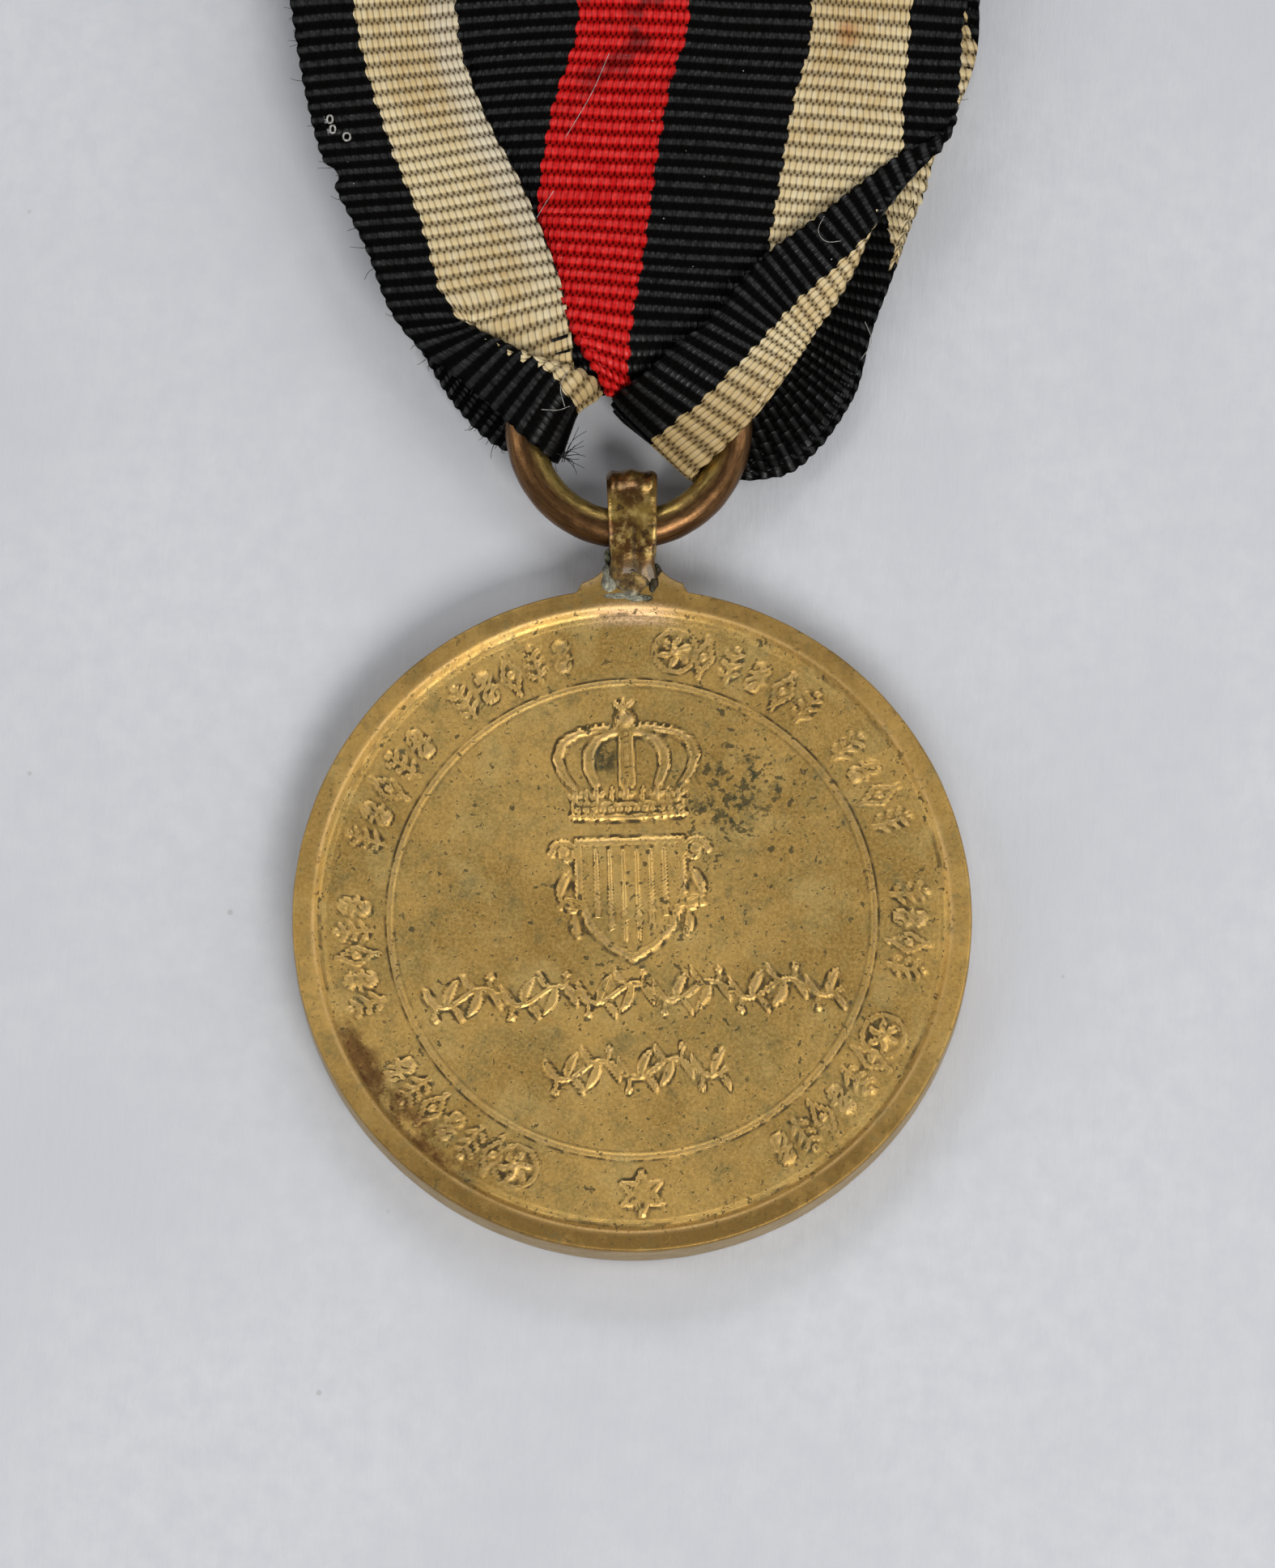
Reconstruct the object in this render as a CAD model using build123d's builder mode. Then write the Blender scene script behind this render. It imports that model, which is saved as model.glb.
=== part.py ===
"""Commemorative medal on a folded ribbon, lying face up.

Millimetres, +Z up. The origin is the centre of the disc's back face, +Z points out of its
front face, and +Y runs from the disc through the eyelet and the ring to the top of the ribbon.

The struck disc carries a folded strap eyelet, soldered on its shoulder. A butted wire ring
hangs in the eyelet. A repp ribbon is gathered round the upper part of the ring, and its two
layers run up to a hem that is sewn to a pin brooch.
"""

import os
from math import cos, radians, sin

from build123d import *

# Disc
disc_d = 29.0
disc_t = 2.3
rim_flat_w = 0.75
rim_slope_w = 0.45
rim_h = 0.32
edge_bevel = 0.12
line_r = 10.35
line_w = 0.24
line_h = 0.1
star_r = 0.95
star_y = -11.95
relief_h = 0.12
shield_w = 4.6
shield_h = 5.2
shield_y = 1.0
shield_bulge = (0.36, 0.3)

# Shoulder of the disc, as half its outline from the rim upwards
shoulder_half = [(2.3, 13.9), (2.25, 14.75), (1.6, 15.0), (1.25, 15.3)]
shoulder_inset = 0.1

# Eyelet: a strap folded round the ring's wire
eye_w = 2.2
eye_t = 0.45
eye_bore_r = 1.1
eye_z = 1.6
pivot_y = 17.2
eye_straight = 1.1
eye_round = 0.18
foot_w_z = 2.1

# Solder: the leg of its corner fillets, how far down the shoulder their toe reaches, and the
# flat runs as x, y, half length, half width
solder_leg = 0.42
solder_toe = 0.7
solder_hollow = (0.14, 0.1)
solder_depth = 1.5
solder_runs = [(-0.75, 14.93, 0.42, 0.35), (0.75, 14.76, 0.5, 0.26)]
solder_run_h = 0.12
solder_run_taper = 30

# Suspension ring
ring_od = 10.68
wire_d = 1.64
ring_tilt = 6.0
ring_shift_x = -0.15
seam_deg = 1.4

# Ribbon
ribbon_w = 30.7
cloth_t = 0.45
flex_y = 29.2
flex_z = 1.8
flex_r = 1.5
flex_gap = 0.3
full_width_y = 46.0
hem_y = 56.0
ribbon_top_y = 66.0
top_z = 3.95
gather_floor_z = 0.25
gather_near_y = 18.8
gather_slack_near, gather_slack_far = 0.2, 0.1
gather_left = [(-8.6, 24.4), (-6.1, 21.3), (-5.0, 19.6)]
gather_right = [(3.4, 19.0), (7.1, 20.3), (9.3, 22.6), (10.4, 24.6)]
gather_far_left, gather_far_right = -10.2, 11.0
arch_left, arch_top, arch_right = (-3.0, 19.9), (-0.4, 23.1), (2.3, 19.4)
wire_clearance = 0.05
drop_near_left, drop_near_right = -10.3, 11.4
drop_mid_y, drop_mid_left, drop_mid_right = 40.0, -14.65, 15.0
drop_rise = 0.3
fold_r = 0.6
hem_close = 1.2

# Brooch
plate_l, plate_w, plate_t = 28.0, 5.0, 0.5
plate_y = 60.5
plate_z = 2.1
plate_corner_r = 1.2
sewing_hole_d = 1.0
sewing_hole_x = 12.6
sewing_hole_dy = 1.6
needle_z = 1.0
needle_d = 0.8
hinge_x = -10.5
needle_straight = (-8.9, 8.5)
needle_tip_x = 13.9
needle_tip_d = 0.12
needle_neck = 1.3
eye_od = 1.24
eye_width = 0.8
rivet_d = 0.6
rivet_play = 0.05
rivet_head_t = 0.2
rivet_head_rim = 0.15
ear_gap = 2.0
ear_t = 0.4
ear_r = 0.65
bracket_l = 2.4
bracket_base_t = 0.4
catch_x = 11.4
catch_l = 1.6
catch_r_in = 0.5
catch_wall = 0.35
catch_mouth = 0.72
catch_stem_w = 0.9

# Sewing thread
thread_d = 0.3
stitch_y = 56.9
stitch_h = 0.14
stitch_l = 1.3
stitch_count = 10
stitch_pitch = 2.9
tack_h = 0.2
tack_play = 0.05

disc_r = disc_d / 2
wire_r = wire_d / 2
ring_r = ring_od / 2 - wire_r
field_z = disc_t - rim_h
rim_inner_r = disc_r - rim_flat_w
slope_foot_r = rim_inner_r - rim_slope_w
ring_plane = Plane(
    origin=(
        ring_shift_x,
        pivot_y + ring_r * cos(radians(ring_tilt)),
        eye_z + ring_r * sin(radians(ring_tilt)),
    ),
    x_dir=(1, 0, 0),
    z_dir=(0, -sin(radians(ring_tilt)), cos(radians(ring_tilt))),
)


def finish(builder, name):
    """Labels a finished piece and writes its STEP file."""
    builder.part.label = name
    export_step(builder.part, f"parts/{name}.step")
    print(f"{name}: {len(builder.part.solids())} solids, {builder.part.volume:.1f} mm3")


def both_sides(points):
    """An outline closed by its mirror image in the Y axis."""
    return points + [(-x, y) for x, y in reversed(points)]


def make_disc():
    """Struck disc: raised rim, ring line, shoulder, and a shield and star in low relief."""
    with BuildPart() as disc:
        with BuildSketch(Plane.XZ) as section:
            with BuildLine():
                Polyline(
                    (0, rim_h),
                    (slope_foot_r, rim_h),
                    (rim_inner_r, 0),
                    (disc_r - edge_bevel, 0),
                    (disc_r, edge_bevel),
                    (disc_r, disc_t - edge_bevel),
                    (disc_r - edge_bevel, disc_t),
                    (rim_inner_r, disc_t),
                    (slope_foot_r, field_z),
                    (0, field_z),
                    close=True,
                )
            make_face()
        revolve(axis=Axis.Z)
        with BuildSketch(Plane.XY.offset(shoulder_inset)):
            with BuildLine():
                Polyline(*both_sides(shoulder_half), close=True)
            make_face()
        extrude(amount=disc_t - 2 * shoulder_inset)
        with BuildSketch(Plane.XY.offset(field_z)):
            Circle(line_r + line_w / 2)
            Circle(line_r - line_w / 2, mode=Mode.SUBTRACT)
        extrude(amount=line_h)
        with BuildSketch(Plane.XY.offset(field_z)):
            with Locations((0, star_y)):
                for turn in (90, -90):
                    RegularPolygon(star_r, 3, rotation=turn)
        extrude(amount=relief_h)
        with BuildSketch(Plane.XY.offset(field_z)):
            with BuildLine():
                top = shield_y + shield_h / 2
                Line((-shield_w / 2, top), (shield_w / 2, top))
                Line((shield_w / 2, top), (shield_w / 2, shield_y))
                ThreePointArc(
                    (shield_w / 2, shield_y),
                    (shield_w * shield_bulge[0], shield_y - shield_h * shield_bulge[1]),
                    (0, shield_y - shield_h / 2),
                )
                ThreePointArc(
                    (0, shield_y - shield_h / 2),
                    (-shield_w * shield_bulge[0], shield_y - shield_h * shield_bulge[1]),
                    (-shield_w / 2, shield_y),
                )
                Line((-shield_w / 2, shield_y), (-shield_w / 2, top))
            make_face()
        extrude(amount=relief_h)
    finish(disc, "disc")


def make_eyelet():
    """Strap loop with a stadium bore along X, on a short foot that stands on the shoulder."""
    centre_y = pivot_y + eye_straight / 2
    outer_r = eye_bore_r + eye_t
    foot_top = pivot_y - eye_bore_r - eye_t / 2
    shoulder_top = shoulder_half[-1][1]
    with BuildPart() as eyelet:
        with BuildSketch(Plane.YZ.offset(-eye_w / 2)):
            with Locations((centre_y, eye_z)):
                SlotCenterToCenter(eye_straight, 2 * outer_r)
        extrude(amount=eye_w)
        fillet(eyelet.edges().filter_by(Plane.YZ), eye_round)
        with BuildSketch(Plane.YZ.offset(-eye_w / 2)):
            with Locations(((shoulder_top + foot_top) / 2, eye_z)):
                Rectangle(foot_top - shoulder_top, foot_w_z)
        extrude(amount=eye_w)
        with BuildSketch(Plane.YZ.offset(-eye_w / 2)):
            with Locations((centre_y, eye_z)):
                SlotCenterToCenter(eye_straight, 2 * eye_bore_r)
        extrude(amount=eye_w, mode=Mode.SUBTRACT)
    finish(eyelet, "eyelet")


def make_solder():
    """Solder: a fillet in each corner of the eyelet's foot, and two flat runs in front."""
    corner_x = eye_w / 2
    (slope_x, slope_y), (top_x, top_y) = shoulder_half[-2:]
    toe = (top_x + solder_toe * (slope_x - top_x), top_y + solder_toe * (slope_y - top_y))
    with BuildPart() as solder:
        with BuildSketch(Plane.XY.offset(eye_z - foot_w_z / 2 + shoulder_inset)):
            with BuildLine():
                Polyline((corner_x, top_y + solder_leg), (corner_x, top_y), (top_x, top_y), toe)
                ThreePointArc(
                    toe,
                    (corner_x + solder_hollow[0], top_y + solder_hollow[1]),
                    (corner_x, top_y + solder_leg),
                )
            make_face()
        extrude(amount=solder_depth)
        mirror(about=Plane.YZ)
        for x, y, run_x, run_y in solder_runs:
            with BuildSketch(Plane.XY.offset(disc_t - shoulder_inset)):
                with Locations((x, y)):
                    Ellipse(run_x, run_y)
            extrude(amount=solder_run_h, taper=solder_run_taper)
    finish(solder, "solder_seam")


def make_ring():
    """Round wire ring with a butt seam at its top."""
    with BuildPart() as ring:
        start = Plane(
            origin=ring_plane.origin,
            x_dir=ring_plane.y_dir.rotate(
                Axis(ring_plane.origin, ring_plane.z_dir), seam_deg / 2
            ),
            z_dir=ring_plane.x_dir.rotate(
                Axis(ring_plane.origin, ring_plane.z_dir), seam_deg / 2
            )
            * -1,
        )
        with BuildSketch(start):
            with Locations((ring_r, 0)):
                Circle(wire_r)
        revolve(
            axis=Axis(ring_plane.origin, ring_plane.z_dir),
            revolution_arc=360 - seam_deg,
        )
    finish(ring, "suspension_ring")


def make_gather():
    """Ribbon bunched round the upper part of the ring, up to the line where it flexes."""
    far_y = flex_y - flex_r - flex_gap
    ring_rise = sin(radians(ring_tilt)) * 2 * ring_r
    wire_far_y = pivot_y + cos(radians(ring_tilt)) * 2 * ring_r
    near_top_z = eye_z + wire_r + cloth_t + gather_slack_near
    far_top_z = eye_z + ring_rise + wire_r + cloth_t + gather_slack_far
    with BuildPart() as gather:
        with BuildSketch(Plane.XY):
            with BuildLine():
                Polyline((gather_far_left, far_y), *gather_left, arch_left)
                ThreePointArc(arch_left, arch_top, arch_right)
                Polyline(arch_right, *gather_right, (gather_far_right, far_y), (gather_far_left, far_y))
            make_face()
        extrude(amount=top_z + 1)
        with BuildSketch(Plane.YZ.offset(-ribbon_w / 2)):
            with BuildLine():
                Polyline(
                    (gather_near_y, gather_floor_z),
                    (far_y, gather_floor_z),
                    (far_y, flex_z + flex_r),
                    (wire_far_y + wire_r / 2, far_top_z),
                    (wire_far_y - wire_r, far_top_z),
                    (gather_near_y, near_top_z),
                    close=True,
                )
            make_face()
        extrude(amount=ribbon_w, mode=Mode.INTERSECT)
        with BuildSketch(Plane(ring_plane.origin, ring_plane.x_dir, -ring_plane.y_dir)):
            with Locations((ring_r, 0)):
                Circle(wire_r + wire_clearance)
        revolve(axis=Axis(ring_plane.origin, ring_plane.z_dir), mode=Mode.SUBTRACT)
    finish(gather, "ribbon_gather")


def make_drop():
    """The ribbon's two layers from the flex line to the sewn hem, as one closed loop."""
    round_top_y = ribbon_top_y - fold_r
    hem_back_z = plate_z + plate_t
    lower_y = flex_y - flex_r
    outline = [
        (drop_near_left, lower_y),
        (drop_mid_left, drop_mid_y),
        (-ribbon_w / 2, full_width_y),
        (-ribbon_w / 2, ribbon_top_y),
        (ribbon_w / 2, ribbon_top_y),
        (ribbon_w / 2, full_width_y),
        (drop_mid_right, drop_mid_y),
        (drop_near_right, lower_y),
    ]
    with BuildPart() as drop:
        with BuildSketch(Plane.YZ.offset(-ribbon_w / 2)):
            with BuildLine():
                Line((flex_y, flex_z + flex_r), (full_width_y, top_z - drop_rise))
                Line((full_width_y, top_z - drop_rise), (hem_y, top_z))
                Line((hem_y, top_z), (round_top_y, top_z))
                ThreePointArc(
                    (round_top_y, top_z),
                    (ribbon_top_y, (top_z + hem_back_z) / 2),
                    (round_top_y, hem_back_z),
                )
                Line((round_top_y, hem_back_z), (hem_y, hem_back_z))
                Line((hem_y, hem_back_z), (full_width_y, flex_z - flex_r))
                Line((full_width_y, flex_z - flex_r), (flex_y, flex_z - flex_r))
                ThreePointArc(
                    (flex_y, flex_z - flex_r),
                    (flex_y - flex_r, flex_z),
                    (flex_y, flex_z + flex_r),
                )
            make_face()
            with BuildLine():
                Polyline(
                    (flex_y + fold_r, flex_z + flex_r - 2 * cloth_t),
                    (full_width_y, top_z - drop_rise - cloth_t),
                    (hem_y - hem_close, top_z - 1.57 * cloth_t),
                    (full_width_y, flex_z - flex_r + cloth_t),
                    (flex_y + fold_r, flex_z - flex_r + 2 * cloth_t),
                    close=True,
                )
            make_face(mode=Mode.SUBTRACT)
        extrude(amount=ribbon_w)
        with BuildSketch(Plane.XY):
            with BuildLine():
                Polyline(*outline, close=True)
            make_face()
        extrude(amount=top_z + 1, mode=Mode.INTERSECT)
    finish(drop, "ribbon_drop")


def make_thread():
    """Running stitches across the hem, and a tack in each sewing hole of the plate."""
    first_x = -(stitch_count - 1) / 2 * stitch_pitch
    with BuildPart() as thread:
        with BuildSketch(Plane.XY.offset(top_z)):
            with Locations(
                *[(first_x + k * stitch_pitch, stitch_y) for k in range(stitch_count)]
            ):
                SlotOverall(stitch_l, thread_d)
        extrude(amount=stitch_h)
        with BuildSketch(Plane.XY.offset(plate_z - tack_h)):
            with Locations(*sewing_holes()):
                Circle(sewing_hole_d / 2 - tack_play)
        extrude(amount=plate_t + tack_h)
    finish(thread, "sewing_thread")


def sewing_holes():
    """The four places where the plate is sewn on."""
    return [
        (side_x * sewing_hole_x, plate_y + side_y * sewing_hole_dy)
        for side_x in (-1, 1)
        for side_y in (-1, 1)
    ]


def make_plate():
    """Flat brooch plate with rounded corners and four sewing holes."""
    with BuildPart() as plate:
        with BuildSketch(Plane.XY.offset(plate_z)):
            with Locations((0, plate_y)):
                RectangleRounded(plate_l, plate_w, plate_corner_r)
            with Locations(*sewing_holes()):
                Circle(sewing_hole_d / 2, mode=Mode.SUBTRACT)
        extrude(amount=plate_t)
    finish(plate, "brooch_plate")


def make_bracket():
    """Hinge bracket: a base under the plate with an ear on each side of the needle's eye."""
    outer = ear_gap / 2 + ear_t
    base_z = plate_z - bracket_base_t
    with BuildPart() as bracket:
        with Locations((hinge_x, plate_y, plate_z)):
            Box(
                bracket_l,
                2 * outer,
                bracket_base_t,
                align=(Align.CENTER, Align.CENTER, Align.MAX),
            )
        for side in (-1, 1):
            ear_y = plate_y + side * (outer - ear_t / 2)
            with BuildSketch(Plane.XZ.offset(-ear_y)):
                with Locations((hinge_x, needle_z)):
                    Circle(ear_r)
                with Locations((hinge_x, (base_z + needle_z) / 2)):
                    Rectangle(2 * ear_r, base_z - needle_z)
            extrude(amount=ear_t / 2, both=True)
        with BuildSketch(Plane.XZ.offset(-plate_y)):
            with Locations((hinge_x, needle_z)):
                Circle(rivet_d / 2)
        extrude(amount=outer, both=True, mode=Mode.SUBTRACT)
    finish(bracket, "hinge_bracket")


def make_rivet():
    """Rivet through the bracket's ears, with a thin head outside each ear."""
    outer = ear_gap / 2 + ear_t
    with BuildPart() as rivet:
        with BuildSketch(Plane.XZ.offset(-plate_y)):
            with Locations((hinge_x, needle_z)):
                Circle(rivet_d / 2)
        extrude(amount=outer + rivet_head_t, both=True)
        for side in (-1, 1):
            with BuildSketch(Plane.XZ.offset(-(plate_y + side * (outer + rivet_head_t / 2)))):
                with Locations((hinge_x, needle_z)):
                    Circle(rivet_d / 2 + rivet_head_rim)
            extrude(amount=rivet_head_t / 2, both=True)
    finish(rivet, "hinge_rivet")


def make_needle():
    """Needle: an eye on the rivet, a tapered neck, a straight shank and a long point."""
    straight_from, straight_to = needle_straight
    shank_r = needle_d / 2
    with BuildPart() as needle:
        with BuildSketch(Plane.XZ.offset(-plate_y)):
            with Locations((hinge_x, needle_z)):
                Circle(eye_od / 2)
        extrude(amount=eye_width / 2, both=True)
        with BuildSketch(Plane.XZ.offset(-plate_y)):
            with BuildLine():
                Polyline(
                    (hinge_x, needle_z),
                    (hinge_x, needle_z + shank_r * needle_neck),
                    (straight_from, needle_z + shank_r),
                    (straight_to, needle_z + shank_r),
                    (needle_tip_x, needle_z + needle_tip_d / 2),
                    (needle_tip_x, needle_z),
                    close=True,
                )
            make_face()
        revolve(axis=Axis((hinge_x, plate_y, needle_z), (1, 0, 0)))
        with BuildSketch(Plane.XZ.offset(-plate_y)):
            with Locations((hinge_x, needle_z)):
                Circle(rivet_d / 2 + rivet_play)
        extrude(amount=eye_width, both=True, mode=Mode.SUBTRACT)
    finish(needle, "brooch_needle")


def make_catch():
    """C-shaped snap catch on a short stem, its mouth facing away from the plate."""
    outer_r = catch_r_in + catch_wall
    with BuildPart() as catch:
        with BuildSketch(Plane.YZ.offset(catch_x - catch_l / 2)):
            with Locations((plate_y, needle_z)):
                Circle(outer_r)
            with Locations((plate_y, (needle_z + plate_z) / 2)):
                Rectangle(catch_stem_w, plate_z - needle_z)
            with Locations((plate_y, needle_z)):
                Circle(catch_r_in, mode=Mode.SUBTRACT)
            with Locations((plate_y, needle_z - outer_r)):
                Rectangle(catch_mouth, 2 * outer_r, mode=Mode.SUBTRACT)
        extrude(amount=catch_l)
    finish(catch, "brooch_catch")


os.makedirs("parts", exist_ok=True)
make_disc()
make_eyelet()
make_solder()
make_ring()
make_gather()
make_drop()
make_thread()
make_plate()
make_bracket()
make_rivet()
make_needle()
make_catch()
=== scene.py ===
"""Worn bronze medal on a folded striped ribbon, lying face up on pale paper."""

import math

import bpy
import numpy as np
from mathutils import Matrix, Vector


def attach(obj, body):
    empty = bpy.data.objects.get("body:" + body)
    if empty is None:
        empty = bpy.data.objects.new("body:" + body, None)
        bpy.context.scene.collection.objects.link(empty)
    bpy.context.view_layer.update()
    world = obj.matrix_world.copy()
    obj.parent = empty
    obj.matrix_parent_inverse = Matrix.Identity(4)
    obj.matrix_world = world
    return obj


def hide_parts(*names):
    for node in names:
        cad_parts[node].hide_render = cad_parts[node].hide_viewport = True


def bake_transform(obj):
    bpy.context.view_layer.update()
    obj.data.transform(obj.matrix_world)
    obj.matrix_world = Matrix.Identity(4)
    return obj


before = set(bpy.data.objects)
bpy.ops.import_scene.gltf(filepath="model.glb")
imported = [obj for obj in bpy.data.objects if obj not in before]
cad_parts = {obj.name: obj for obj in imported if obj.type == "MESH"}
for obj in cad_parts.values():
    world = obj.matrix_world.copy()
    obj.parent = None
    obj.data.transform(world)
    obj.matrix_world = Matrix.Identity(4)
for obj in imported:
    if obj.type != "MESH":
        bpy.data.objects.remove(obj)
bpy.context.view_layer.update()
MM = 0.001
rng = np.random.default_rng(29)

# ---------------------------------------------------------------- camera, light, floor
scene = bpy.context.scene
scene.view_settings.view_transform = "Standard"

AIM = Vector((0.23, 5.8, 2.3)) * MM
CAMERA_TILT = math.radians(13.0)
CAMERA_DISTANCE = 0.38
LIT_POINT = Vector((0, 0.01, 0))

camera_data = bpy.data.cameras.new("camera")
camera_data.lens = 204.0
camera_data.sensor_width = 36.0
camera_data.clip_start = 0.01
camera = bpy.data.objects.new("camera", camera_data)
scene.collection.objects.link(camera)
toward_camera = Vector((0, -math.sin(CAMERA_TILT), math.cos(CAMERA_TILT)))
camera.location = AIM + CAMERA_DISTANCE * toward_camera
camera.rotation_euler = (CAMERA_TILT, 0, 0)
scene.camera = camera


def area_light(name, at, size, power, colour=(1, 1, 1)):
    """A soft rectangular light at a place in metres, turned to the medal."""
    data = bpy.data.lights.new(name, "AREA")
    data.shape = "RECTANGLE"
    data.size, data.size_y = size
    data.energy = power
    data.color = colour
    lamp = bpy.data.objects.new(name, data)
    lamp.location = at
    lamp.rotation_euler = (LIT_POINT - Vector(at)).to_track_quat("-Z", "Y").to_euler()
    scene.collection.objects.link(lamp)


area_light("key", (0.16, -0.42, 0.42), (0.36, 0.22), 3.3, (1.0, 0.99, 0.97))
area_light("back", (-0.05, 0.5, 0.38), (0.4, 0.16), 1.15, (0.97, 0.98, 1.0))
area_light("left", (-0.5, 0.05, 0.32), (0.16, 0.5), 0.9)
area_light("right", (0.5, 0.05, 0.36), (0.16, 0.5), 1.05)

world = bpy.data.worlds.new("world")
scene.world = world
world.use_nodes = True
background = world.node_tree.nodes["Background"]
background.inputs["Color"].default_value = (0.92, 0.95, 1.0, 1)
background.inputs["Strength"].default_value = 0.25


# ---------------------------------------------------------------- node helper
class Wire:
    """A number from one shader node: arithmetic on it adds Math nodes."""

    def __init__(self, paint, socket):
        self.paint, self.socket = paint, socket

    def __add__(self, other):
        return self.paint.math("ADD", self, other)

    def __sub__(self, other):
        return self.paint.math("SUBTRACT", self, other)

    def __rsub__(self, other):
        return self.paint.math("SUBTRACT", other, self)

    def __mul__(self, other):
        return self.paint.math("MULTIPLY", self, other)

    def __truediv__(self, other):
        return self.paint.math("DIVIDE", self, other)

    def __abs__(self):
        return self.paint.math("ABSOLUTE", self)


class Paint:
    """A procedural material, built socket by socket."""

    def __init__(self, name):
        self.material = bpy.data.materials.new(name)
        self.material.use_nodes = True
        self.tree = self.material.node_tree
        self.tree.nodes.clear()
        self._place = self.colour = None

    def node(self, kind, inputs=(), **settings):
        made = self.tree.nodes.new("ShaderNode" + kind)
        for key, value in settings.items():
            setattr(made, key, value)
        for key, value in dict(inputs).items():
            self.feed(made.inputs[key], value)
        return made

    def feed(self, socket, value):
        if isinstance(value, Wire):
            value = value.socket
        if isinstance(value, bpy.types.NodeSocket):
            self.tree.links.new(value, socket)
            return
        is_colour = socket.type == "RGBA" and len(value) == 3
        socket.default_value = (*value, 1) if is_colour else value

    def place(self):
        """Object coordinates in millimetres."""
        if self._place is None:
            metres = self.node("TexCoord").outputs["Object"]
            scaled = self.node("VectorMath", {0: metres, "Scale": 1 / MM}, operation="SCALE")
            self._place = scaled.outputs[0]
        return self._place

    def parts(self, vector=None):
        """x, y and z of a vector, or of the place."""
        split = self.node("SeparateXYZ", {0: vector or self.place()})
        return [Wire(self, socket) for socket in split.outputs]

    def distance(self, vector, point):
        made = self.node("VectorMath", {0: vector, 1: point}, operation="DISTANCE")
        return Wire(self, made.outputs["Value"])

    def stretch(self, vector, by):
        return self.node("VectorMath", {0: vector, 1: by}, operation="MULTIPLY").outputs[0]

    def uv(self):
        """The mesh's own u and v, in millimetres."""
        return self.parts(self.node("UVMap", uv_map="UVMap").outputs[0])[:2]

    def data(self, name):
        return Wire(self, self.node("Attribute", attribute_name=name).outputs["Fac"])

    def math(self, operation, a, b=None, c=None):
        given = {k: v for k, v in enumerate((a, b, c)) if v is not None}
        return Wire(self, self.node("Math", given, operation=operation).outputs[0])

    def larger(self, a, b):
        return self.math("MAXIMUM", a, b)

    def noise(self, scale, detail=3.0, rough=0.55, vector=None, seed=0.0):
        inputs = {"Vector": vector or self.place(), "W": seed, "Scale": scale,
                  "Detail": detail, "Roughness": rough}
        return Wire(self, self.node("TexNoise", inputs, noise_dimensions="4D").outputs["Fac"])

    def cells(self, scale, vector=None):
        inputs = {"Vector": vector or self.place(), "Scale": scale}
        return Wire(self, self.node("TexVoronoi", inputs).outputs["Distance"])

    def span(self, value, low, high, to_low=0.0, to_high=1.0):
        """Smooth step from low to high, which may run either way."""
        inputs = {"Value": value, "From Min": low, "From Max": high,
                  "To Min": to_low, "To Max": to_high}
        made = self.node("MapRange", inputs, interpolation_type="SMOOTHSTEP")
        return Wire(self, made.outputs[0])

    def blend(self, factor, a, b, how="MIX"):
        made = self.node("Mix", {"Factor": factor}, data_type="RGBA", blend_type=how)
        self.feed(made.inputs[6], a)
        self.feed(made.inputs[7], b)
        return made.outputs[2]

    def coat(self, strength, colour, how="MIX"):
        """Lays a colour over what is painted so far."""
        self.colour = self.blend(strength, self.colour, colour, how)

    def stripes(self, value, stops):
        """Hard-edged colours along a value from 0 to 1."""
        made = self.node("ValToRGB", {0: value})
        ramp = made.color_ramp
        ramp.interpolation = "CONSTANT"
        while len(ramp.elements) < len(stops):
            ramp.elements.new(1.0)
        for element, (at, colour) in zip(ramp.elements, stops):
            element.position = at
            element.color = (*colour, 1)
        return made.outputs[0]

    def bump(self, height, depth_mm, below=None):
        inputs = {"Height": height, "Distance": depth_mm * MM, "Strength": 1.0}
        if below:
            inputs["Normal"] = below
        return self.node("Bump", inputs).outputs[0]

    def finish(self, **sockets):
        shader = self.node("BsdfPrincipled", {"Base Color": self.colour})
        for key, value in sockets.items():
            self.feed(shader.inputs[key.replace("_", " ")], value)
        self.node("OutputMaterial", {"Surface": shader.outputs[0]})
        return self.material


def smoothstep(x):
    x = np.clip(x, 0.0, 1.0)
    return x * x * (3.0 - 2.0 * x)


def make_object(name, verts, faces, material, body=None, slot=None, replaces=(), uv=None, data=None):
    """A mesh piece from points in millimetres, riding on a body if one is named."""
    mesh = bpy.data.meshes.new(name)
    mesh.from_pydata((np.asarray(verts) * MM).tolist(), [], faces)
    mesh.update()
    if uv is not None:
        loops = np.empty(len(mesh.loops), dtype=np.int32)
        mesh.loops.foreach_get("vertex_index", loops)
        layer = mesh.uv_layers.new(name="UVMap")
        layer.data.foreach_set("uv", np.asarray(uv, dtype=np.float32)[loops].ravel())
    for key, values in (data or {}).items():
        attribute = mesh.attributes.new(key, "FLOAT", "POINT")
        attribute.data.foreach_set("value", np.asarray(values, dtype=np.float32))
    mesh.polygons.foreach_set("use_smooth", [True] * len(mesh.polygons))
    mesh.materials.append(material)
    piece = bpy.data.objects.new(name, mesh)
    scene.collection.objects.link(piece)
    if body:
        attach(piece, body)
    if replaces:
        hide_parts(*replaces)
    return piece


def grid_faces(rows, cols, first=0, wrap_cols=False, flip=False):
    """Quads over a rows x cols block of points, numbered from first."""
    r = np.arange(rows - 1)
    c = np.arange(cols if wrap_cols else cols - 1)
    r, c = (a.ravel() for a in np.meshgrid(r, c, indexing="ij"))
    row, next_row, c2 = r * cols, (r + 1) * cols, (c + 1) % cols
    quads = np.stack([row + c, row + c2, next_row + c2, next_row + c], axis=1) + first
    return (quads[:, ::-1] if flip else quads).tolist()


# ---------------------------------------------------------------- floor
FLOOR_HALF, FLOOR_DROP = 0.6, 0.00002


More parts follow.
